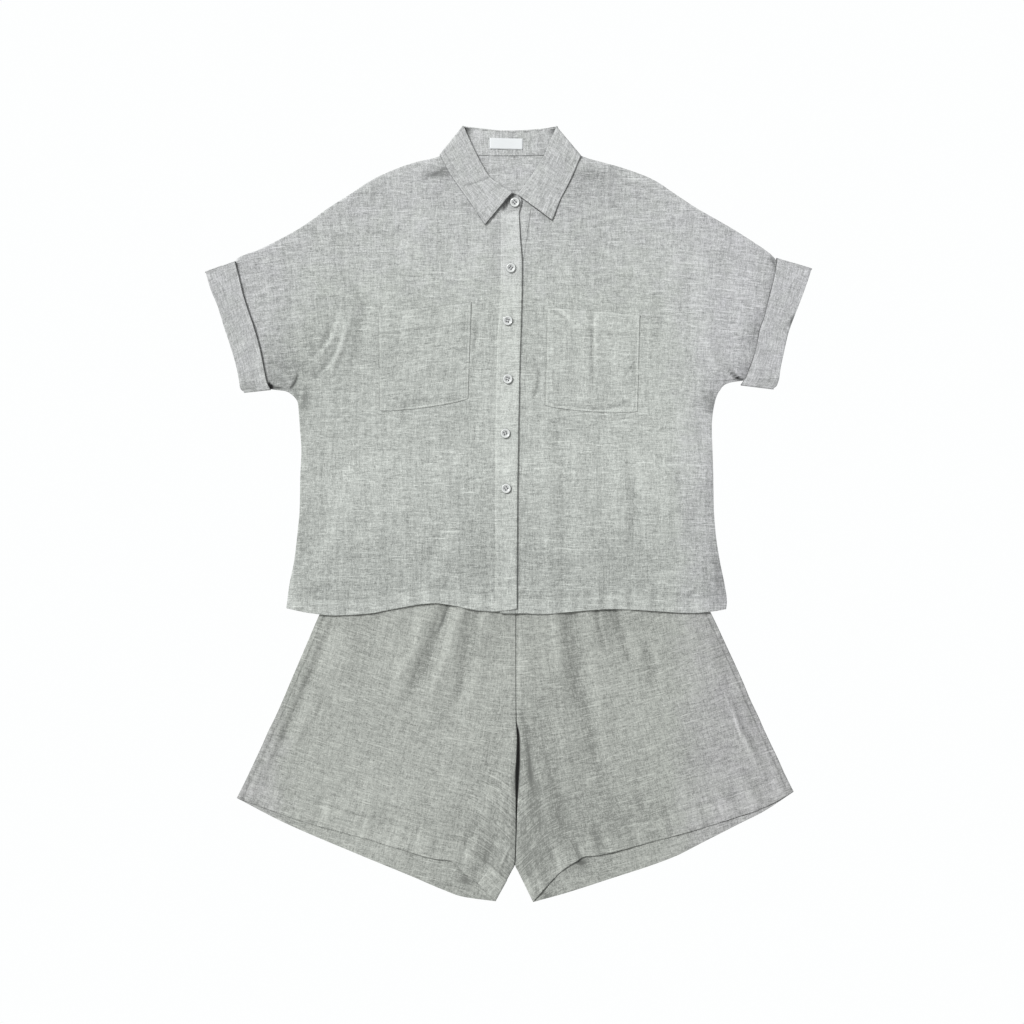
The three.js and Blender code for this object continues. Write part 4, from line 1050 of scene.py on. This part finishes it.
# Steps across a pocket: close together at its edges and at the stitched line below its mouth.
EDGE_STEPS = np.array([0, 0.004, 0.008, 0.013, 0.02, 0.03, 0.045])
BODY_STEPS = np.linspace(0.06, 0.77, 54)
MOUTH_STEPS = np.array([0.79, 0.805, 0.82, 0.84, *np.linspace(0.87, 0.955, 4)])
POCKET_WIDE, POCKET_HIGH = 117 * mm, 120 * mm     # for measuring in from the edges
POCKET_MOUTH = 24 * mm                            # turned hem at the mouth
pocket_front = {}
for side, slant, paler in (("right", 0.10, -0.02), ("left", 0.0, 0.02)):
    corners = POCKETS[side]
    share = np.concatenate([EDGE_STEPS, np.linspace(0.06, 0.94, 72), 1 - EDGE_STEPS[::-1]])
    rise = np.concatenate([EDGE_STEPS, BODY_STEPS, MOUTH_STEPS, 1 - EDGE_STEPS[::-1]])
    v, u = rise[:, None], share[None, :]
    x, y = four_sided(corners[::-1], u, v)
    y = y - 3.4 * mm * np.sin(np.pi * u) ** 0.8 * (1 - v) ** 3 + 0.8 * mm * np.sin(np.pi * u) * v ** 3
    y = y + 1.4 * mm * (np.exp(-u / 0.035) + np.exp(-(1 - u) / 0.035)) * until(v, 0, 0.05)
    edge = np.minimum(np.minimum(u, 1 - u) * POCKET_WIDE, np.minimum(v, 1 - v) * POCKET_HIGH + 0 * u)
    mouth_line = POCKET_HIGH - POCKET_MOUTH
    mouth = ease(v * POCKET_HIGH, mouth_line - 0.6 * mm, mouth_line + 0.6 * mm)
    lie, shade = shirt_lie(x, y)
    z = lie + (0.45 + 0.25 * mouth) * mm + turn_down(edge, 1.2 * mm, 0.3 * mm)
    z = z + 0.22 * mm * (1 + slack(x, y, 34 * mm, 71)) * ease(edge, 1 * mm, 12 * mm)
    z = z + crinkles(x, y, 73, 14, 0.5)
    threads = (x - slant * y, y - slant * x)
    tone = shade + painted_crease_lines(x, y, POCKET_FOLDS[side]) + paler + 0.07 * mouth
    tone = tone - 0.06 * ridge(edge, 3 * mm, 1.0 * mm)
    tone = tone - 0.12 * ridge(v * POCKET_HIGH, mouth_line - 1 * mm, 1.2 * mm)
    # Painted shadow along the pocket's very edge and a painted highlight just inside it, weaker along the
    # mouth.
    painted_rim = -0.75 * until(edge, 0.1 * mm, 0.9 * mm) + 0.36 * ridge(edge, 1.7 * mm, 0.9 * mm)
    tone = tone + painted_rim * (1 - 0.6 * ease(v, 0.96, 1))
    pocket = lay_cloth("pocket_" + side, x, y, z, threads, tone, wall=0.5 * mm)
    set_in_place(pocket, shirt_linen, "shirt_linen", "pocket_" + side)
    pocket_front[side] = (pocket, x, y)

# ---------------------------------------------------------------- button stand and placket
# The left front ends in a narrow button stand. The right front ends in a doubled placket that laps over it.
# The placket's free edge stands a little proud, so a dark line of shadow runs all down it, deepened by
# painted shadow.
FREE_EDGE = [
    (386, 14), (380, 14), (351, 15.2), (318, 17.6), (280, 17.2), (259, 16.6), (195, 14.6), (127, 13.2),
    (80, 12.5), (30, 11.8), (-117, 11), (-122, 11),
]
BUTTON_SEAM = [
    (396, 30), (386, 28.5), (377, 27.3), (362, 25), (350, 23.5), (325, 19.8), (300, 18), (205, 16), (80, 14),
    (-122, 12),
]
below_neck = shirt_levels[shirt_levels <= 390 * mm]
rows = len(below_neck)
level = below_neck[:, None]
seam_right, seam_left = right_seam[:rows, None], edge_line(BUTTON_SEAM, below_neck)[:, None]
free_edge = edge_line(FREE_EDGE, below_neck)[:, None]
turn = np.array([0, 0.02, 0.05, 0.1])
share = np.concatenate([turn, np.linspace(0.15, 0.85, 9), 1 - turn[::-1]])[None, :]
x = seam_right + 7 * mm + (seam_left - seam_right - 7 * mm) * share
y = above_hem_line(level, x, LEFT_HEM)
turned = until(level, SHIRT_BOTTOM + SHIRT_HEM, SHIRT_BOTTOM + SHIRT_HEM + 2 * mm)
lie, shade = shirt_lie(x, y)
z = lie + 0.45 * mm + 0.3 * mm * turned + turn_down((seam_left - x) + 0 * share, 0.8 * mm, 0.3 * mm)
button_stand = lay_cloth("button_stand", x, y, z, shirt_threads(x, y), shade + 0.06, wall=0.6 * mm)
set_in_place(button_stand, shirt_linen, "shirt_linen", "button_stand")

turn = np.array([0, 0.02, 0.05, 0.075, 0.1, 0.125])
share = np.concatenate([turn, np.linspace(0.15, 0.85, 13), 1 - turn[::-1]])[None, :]
x = seam_right + (free_edge - seam_right) * share
y = above_hem_line(level, x, RIGHT_HEM)
proud = 1.5 * ease(share, 0.2, 1.0) * (1 - 0.75 * ease(level, 362 * mm, 384 * mm))
lifted = 0.25 + 0.7 * ease(share, 0, 0.14) + proud
from_free = (free_edge - x) + 0 * share
lie, shade = shirt_lie(x, y)
z = lie + lifted * mm + turn_down(from_free, 0.9 * mm, 0.3 * mm)
z = z + 0.10 * mm * slack(x, y, 24 * mm, 81) + 0.25 * mm * turned
# Painted shadow along the free edge, strongest at the top and near the hem.
painted_edge_shadow = 0.35 + 0.65 * ease(level, 230 * mm, 330 * mm) + 0.35 * until(level, 40 * mm, 110 * mm)
from_either = np.minimum(from_free, (x - seam_right) + 0 * share)
shade = shade + 0.16 + 0.05 * ease(level, 90 * mm, 210 * mm) + 0.10 * ridge(from_either, 2.5 * mm, 0.7 * mm)
shade = shade - 1.2 * painted_edge_shadow * until(from_free, 0.2 * mm, 1.2 * mm)
placket = lay_cloth("placket", x, y, z, shirt_threads(x, y), shade)
set_in_place(placket, shirt_linen, "shirt_linen", "placket")

# ---------------------------------------------------------------- collar stand
# A doubled band sewn round the neck. Its right end laps over its left one and carries the top button.
# At the back its inner face shows, below the fold of the collar, with the label sewn to it.
STAND_RIGHT = [
    (14.2, 381, 17.5, 397), (9, 380, 14, 404), (-2, 380, 4, 407), (-12, 382, -6, 411), (-27, 394, -21, 426),
    (-44, 411, -33, 440), (-56, 432, -43, 458), (-66, 459, -56, 490),
]
STAND_BACK = [
    (-66, 459, -56, 490.5), (-40, 454.5, -38, 488.6), (2, 453.6, 3, 486.4), (45, 454.5, 40, 488.6),
    (69, 459, 60, 491.5),
]
STAND_LEFT = [
    (69, 459, 60, 491), (62, 434, 49, 458), (51, 412, 38, 438), (38, 399, 25, 421), (28, 395, 9, 405),
    (6, 392, -3, 398),
]
RIGHT_OUT, LEFT_OUT = (-0.5, 0.15), (0.5, 0.15)
stand_right = spread(STAND_RIGHT, 46, 0, 0, 0.0, 1.4 * mm, 5.0 * mm)
stand_back = spread(STAND_BACK, 50, 0, 0, np.pi, 1.4 * mm, 5.0 * mm)
stand_left = spread(STAND_LEFT, 40, 0, 0, 2 * np.pi, 1.4 * mm, 3.9 * mm)
for k, row in enumerate(stand_right):
    row[8] -= 0.8 * mm * ease(k, 4, 15)
for k, row in enumerate(stand_left):
    row[8] -= 0.3 * mm * ease(k, 18, 34)
stations = (stand_right + turned_over(stand_right[-1], RIGHT_OUT, 0, np.pi) + stand_back
            + turned_over(stand_left[0], LEFT_OUT, np.pi, 2 * np.pi) + stand_left)
profile = [(0, 0, 0.35 * mm), (0.02, 0, 0.1 * mm), (0.05, 0, 0)]
profile += [(t, 0, 0) for t in np.linspace(0.1, 0.9, 9)]
profile += [(0.95, 0, 0), (0.98, 0, 0.1 * mm), (1, 0, 0.35 * mm)]
walk, share, turn = along_band(stations, profile)
ripple = -0.25 * mm * (1 + np.sin(walk * 0.9 + 3 * share)) * (np.cos(turn) < -0.9)
ripple = ripple - 1.2 * mm * until(share, 0, 0.4) * until(walk, 12, 24)
at_back = np.clip(-np.cos(turn), 0, 1)
# A dark line at the back's lower edge, and painted shadow along the end of the lapping tab.
tone = 0.06 - 0.85 * at_back * until(share, 0.01, 0.04) - 0.5 * ridge(walk, 0, 0.8) * (np.cos(turn) > 0.9)
# Painted shade in the inner corners where the stand turns round at the back.
corners = ridge(walk, 54, 3.0) + ridge(walk, 102, 3.0)
tone = tone - 1.2 * corners * at_back * ease(share, 0.5, 0.9)
# Painted shadow on the tab under the front edge of the collar's right point.
shadow_under_leaf = ridge(walk - 4.4, 5.0 * (1 - share), 1.0) * ease(share, 0, 0.3)
tone = tone - 1.5 * shadow_under_leaf * (np.cos(turn) > 0.9)
collar_stand = fold_round("collar_stand", stations, profile, ripple, tone, wall=0.95 * mm, lengthwise=False)
set_in_place(collar_stand, shirt_linen, "shirt_linen", "collar_stand")

# ---------------------------------------------------------------- collar leaf
# The pointed collar: two layers with a firm lining between, so it is stiffer and keeps sharp points.
# It rolls over the stand, and its points stand just clear of the shirt, with dark gaps below them and painted
# shadow along its edges.
# Rows from the right point round to the back corner: roll x, y, then outer edge x, y.
LEAF_RIGHT = [
    (5, 407.5, -30, 366), (-9, 416, -40, 381), (-24, 428, -51, 397.5), (-33, 442, -65, 417),
    (-42, 459, -76, 434), (-50, 476, -82.5, 446), (-57, 492, -87, 455),
]
LEAF_BACK = [
    (-57, 492, -86, 454), (-30, 488.7, -34, 440), (3, 485.9, 3, 437), (36, 488, 41, 440), (61, 491, 92, 454),
]
LEAF_LEFT = [
    (61, 491, 92, 454.5), (53.6, 475, 88.4, 446), (45, 455, 82, 430.5), (33, 435, 74.2, 414),
    (22, 419, 66.4, 399), (10.7, 404.7, 55.2, 371.6),
]
LEAF_TOP, ROLL = 6.6 * mm, 1.0 * mm
LEAF_FRONT = 84         # stations along each front part of the leaf
leaf_right = spread(LEAF_RIGHT, LEAF_FRONT, 0, 0, 0.0, 0.6 * mm, LEAF_TOP)
leaf_back = spread(LEAF_BACK, 56, 0, 0, np.pi, 0.6 * mm, LEAF_TOP)
leaf_left = spread(LEAF_LEFT, LEAF_FRONT, 0, 0, 2 * np.pi, 0.6 * mm, LEAF_TOP)
stations = (leaf_right + turned_over(leaf_right[-1], (-0.3, 0.18), 0, np.pi, 9) + leaf_back
            + turned_over(leaf_left[0], (0.24, 0.04), np.pi, 2 * np.pi, 9) + leaf_left)
profile = [(0, ROLL * 2.2, 2 * ROLL)]
profile += [(0, ROLL - ROLL * np.cos(a), ROLL - ROLL * np.sin(a)) for a in np.linspace(-1.5, 1.5, 9)]
profile += [(t, 0, 0) for t in np.linspace(0.09, 0.93, 18)]
profile += [(0.955, 0, 0.0), (0.975, 0, 0.05 * mm), (0.99, 0, 0.16 * mm), (1, 0, 0.4 * mm)]
walk, share, turn = along_band(stations, profile)
upside = np.clip(np.cos(turn), 0, 1)
from_left_point = len(stations) - 1 - walk
fall = -(0.6 + 0.45 * (walk > LEAF_FRONT)) * ease(share, 0.25, 1.0)
fall = fall - 0.15 * np.sin(walk * 0.11) * ease(share, 0.3, 1)
right_point = 1.5 * ridge(walk, 0, 6.0) * (1 - 1.4 * ease(share, 0.2, 0.6))
left_point = 0.6 * ridge(from_left_point, 0, 8.0) * ease(share, 0.1, 0.5) * (1 - 0.8 * ease(share, 0.7, 1))
mid_lift = 0.5 * ridge(from_left_point, 40, 19.0) * ease(share, 0.5, 1.0)
crossfold = -1.0 * ridge(walk - 15 * share, 28, 2.2) * until(share, 0.7, 0.95)
ripple = (fall + right_point + left_point + mid_lift + crossfold) * upside * mm
# A darker stitched groove, and a painted highlight just inside the outer edge.
groove_shade_and_edge_light = -0.07 * ridge(share, 0.86, 0.022) + 0.07 * ease(share, 0.955, 0.985)
aslant = walk - 15 * share
# Painted shade and light on a crease across the right wing.
tone = 0.07 + groove_shade_and_edge_light * upside - 0.42 * ridge(aslant, 27.5, 1.0) * upside * until(share, 0.72, 0.9)
tone = tone + 0.10 * ridge(aslant, 31, 2.4) * upside * until(share, 0.6, 0.9)
# Painted shadow along the outer edge, widest in the middle of the left wing.
outer_edge_shadow = np.where(walk < LEAF_FRONT, 0.75, 0.45 + 0.75 * ridge(from_left_point, 36, 24.0))
tone = tone - 1.5 * outer_edge_shadow * ease(share, 0.982, 1.0) * upside
# Painted shadow along the front edges of both points.
front_edge_shadow = ridge(walk, 0, 0.5) + 1.2 * ridge(from_left_point, 0, 0.6)
tone = tone - 1.5 * front_edge_shadow * ease(share, 0.03, 0.08)
collar_leaf = fold_round("collar_leaf", stations, profile, ripple, tone, wall=1.0 * mm)
set_in_place(collar_leaf, shirt_linen, "shirt_linen", "collar_leaf")

# ---------------------------------------------------------------- neck label
# A small woven white label, left plain, sewn to the inside of the stand at the middle of the back.
LABEL = [(-24, 463), (18, 462), (18.3, 476), (-24, 477)]
v, u = np.meshgrid(np.linspace(0, 1, 9), np.linspace(0, 1, 25), indexing="ij")
x, y = four_sided(LABEL, u, v)
z = 3.2 * mm + 0.2 * mm * np.sin(u * 5 + 1) + 0.3 * mm * (1 - v)
label = lay_cloth("neck_label", x, y, z, (x, y), wall=0.35 * mm)
label_ribbon = surfaced("label_ribbon", Roughness=0.55, Sheen_Weight=0.2)
ribbon_place = add_node(label_ribbon, "UVMap", uv_map="threads").outputs["UV"]
ribs = add_node(label_ribbon, "TexWave", {"Scale": 480, "Distortion": 1.0, "Vector": ribbon_place},
                bands_direction="Y").outputs["Fac"]
feed(label_ribbon, "Base Color", two_tone(label_ribbon, ribs, (0.66, 0.69, 0.70), (0.80, 0.82, 0.83)))
ribbed = add_node(label_ribbon, "Bump", {"Distance": 0.08 * mm, "Height": ribs})
feed(label_ribbon, "Normal", ribbed.outputs["Normal"])
set_in_place(label, label_ribbon, "label_ribbon", "neck_label")

# ---------------------------------------------------------------- shirt, stitching
# Tone-on-tone rows: hems, pocket edges and mouths, both sides of the placket, and round the collar's edge.
def inside(rows, share):
    """Line along a band at a share of its width."""
    table = np.array(rows) * mm
    return table[:, :2] * (1 - share) + table[:, 2:] * share


shirt_rows = []
for side, (front, x, y, above_hem) in shirt_front.items():
    line = line_at(x, y, above_hem, SHIRT_HEM - 0.6 * mm)
    shirt_rows.append(line[2:-6] if side == "right" else line[6:-2])
sew("shirt_stitching", shirt_rows, [piece[0] for piece in shirt_front.values()])
for side, (pocket, x, y) in pocket_front.items():
    loop = [(x[r, 3], y[r, 3]) for r in range(len(x) - 1, 3, -1)]
    loop += [(x[3, c], y[3, c]) for c in range(4, x.shape[1] - 4)]
    loop += [(x[r, -4], y[r, -4]) for r in range(3, len(x))]
    mouth_row = len(EDGE_STEPS) + len(BODY_STEPS) + 1
    sew("pocket_stitching_" + side, [loop, list(zip(x[mouth_row, 2:-2], y[mouth_row, 2:-2]))], [pocket])
placket_edges = (seam_right + 2.5 * mm, free_edge - 2.5 * mm)
placket_rows = [list(zip(edge[:, 0], below_neck))[5:] for edge in placket_edges]
sew("placket_stitching", placket_rows, [placket])
sew("collar_stitching", [list(inside(rows, 0.86)) for rows in (LEAF_RIGHT, LEAF_LEFT)], [collar_leaf])

# ---------------------------------------------------------------- buttons
# Six four-hole buttons turned from pale shell, with a broad raised rim and a sunk middle. Grey thread runs
# through the holes and ties them to the placket and the collar stand.
HOLE_RADIUS, HOLE_AT = 0.85 * mm, 1.45 * mm
BUTTON_LIFT = 0.45 * mm                            # gap between a button and the cloth
BAR_RADIUS, SHANK_RADIUS = 0.45 * mm, 0.5 * mm     # thread over the holes and down through them
BUTTONS = [
    ("button_collar", 8, 395), ("button_1", 3, 312), ("button_2", -1, 245), ("button_3", -1, 171),
    ("button_4", -4, 102), ("button_5", -3, 32),
]

lathe = bmesh.new()
turning = [(0, 0), (4.6, 0), (5.6, 0.35), (6.2, 1.05), (6.15, 1.6), (5.7, 2.15), (5.0, 2.3), (4.3, 2.15),
           (3.6, 1.5), (3.0, 1.25), (0, 1.2)]
ring_points = [lathe.verts.new((r * mm, 0, h * mm)) for r, h in turning]
ring_edges = [lathe.edges.new(pair) for pair in zip(ring_points[:-1], ring_points[1:])]
bmesh.ops.spin(lathe, geom=ring_points + ring_edges, cent=(0, 0, 0), axis=(0, 0, 1), angle=2 * np.pi,
               steps=40, use_merge=True)
bmesh.ops.remove_doubles(lathe, verts=lathe.verts, dist=0.002 * mm)
bmesh.ops.recalc_face_normals(lathe, faces=lathe.faces)
drills = bmesh.new()
for sx, sy in ((1, 1), (-1, 1), (-1, -1), (1, -1)):
    place = Matrix.Translation((sx * HOLE_AT, sy * HOLE_AT, 1 * mm))
    bmesh.ops.create_cone(drills, cap_ends=True, segments=14, radius1=HOLE_RADIUS, radius2=HOLE_RADIUS,
                          depth=5 * mm, matrix=place)
blank = put_in("button_blank", mesh_of("button_blank", lathe))
drill = put_in("button_drills", mesh_of("button_drills", drills))
bore = blank.modifiers.new("holes", "BOOLEAN")
bore.object, bore.operation, bore.solver = drill, "DIFFERENCE", "EXACT"
button_mesh = bpy.data.meshes.new_from_object(blank.evaluated_get(bpy.context.evaluated_depsgraph_get()))
for tool in (blank, drill):
    bpy.data.objects.remove(tool)
from_middle = np.array([np.hypot(v.co.x, v.co.y) for v in button_mesh.vertices])
# Painted shade on each button: darker in its sunk middle, and painted shadow round its outer edge.
rim_shade = 0.66 + 0.34 * ease(from_middle, 3.9 * mm, 4.7 * mm) - 0.95 * ease(from_middle, 5.5 * mm, 6.1 * mm)
button_mesh.attributes.new("painted_rim", "FLOAT", "POINT").data.foreach_set("value", rim_shade)

button_shell = surfaced("button_shell", Roughness=0.28, Coat_Weight=0.3)
shell_place = add_node(button_shell, "TexCoord").outputs["Object"]
cloudy = add_node(button_shell, "TexNoise", {"Scale": 260, "Distortion": 2.0, "Vector": shell_place})
pearl = two_tone(button_shell, cloudy.outputs["Fac"], (0.62, 0.65, 0.64), (0.82, 0.84, 0.82))
painted_rim = add_node(button_shell, "Attribute", attribute_name="painted_rim").outputs["Fac"]
painted_darkening = add_node(button_shell, "Math", {0: 1.0, 1: painted_rim}, operation="SUBTRACT").outputs[0]
shell_with_painted_shade = add_node(button_shell, "Mix", {0: painted_darkening, 6: pearl, 7: (0.20, 0.20, 0.21, 1)}, data_type="RGBA",
                blend_type="MULTIPLY")
feed(button_shell, "Base Color", shell_with_painted_shade.outputs[2])
button_thread = spun("button_thread", 0.8, 1500, (0.10, 0.10, 0.11), (0.24, 0.24, 0.25))

under_button = resting_on([placket, collar_stand])
for name, px, py in BUTTONS:
    around = [under_button(px * mm + dx * mm, py * mm + dy * mm) for dx in (-4, 0, 4) for dy in (-4, 0, 4)]
    seat = Matrix.Translation((px * mm, py * mm, max(around) + BUTTON_LIFT))
    seat = seat @ Matrix.Rotation(0.3 * px, 4, "Z")
    mesh = button_mesh.copy()
    mesh.name = name
    mesh.transform(seat)
    mesh.shade_smooth()
    mesh.materials.append(button_shell)
    button = put_in(name, mesh)
    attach(button, "root")
    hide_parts(name)
    bars = bmesh.new()
    for side in (-1, 1):
        lay = Matrix.Translation((0, side * HOLE_AT, 1.35 * mm)) @ Matrix.Rotation(np.pi / 2, 4, "Y")
        bmesh.ops.create_cone(bars, cap_ends=True, segments=8, radius1=BAR_RADIUS, radius2=BAR_RADIUS,
                              depth=2 * HOLE_AT + 0.6 * mm, matrix=seat @ lay)
        for end in (-1, 1):
            drop = Matrix.Translation((end * HOLE_AT, side * HOLE_AT, 0.5 * mm))
            bmesh.ops.create_cone(bars, cap_ends=True, segments=8, radius1=SHANK_RADIUS, radius2=SHANK_RADIUS,
                                  depth=1.6 * mm, matrix=seat @ drop)
    tie = put_in(name + "_thread", mesh_of(name + "_thread", bars))
    tie.data.shade_smooth()
    tie.data.materials.append(button_thread)
    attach(tie, "root")
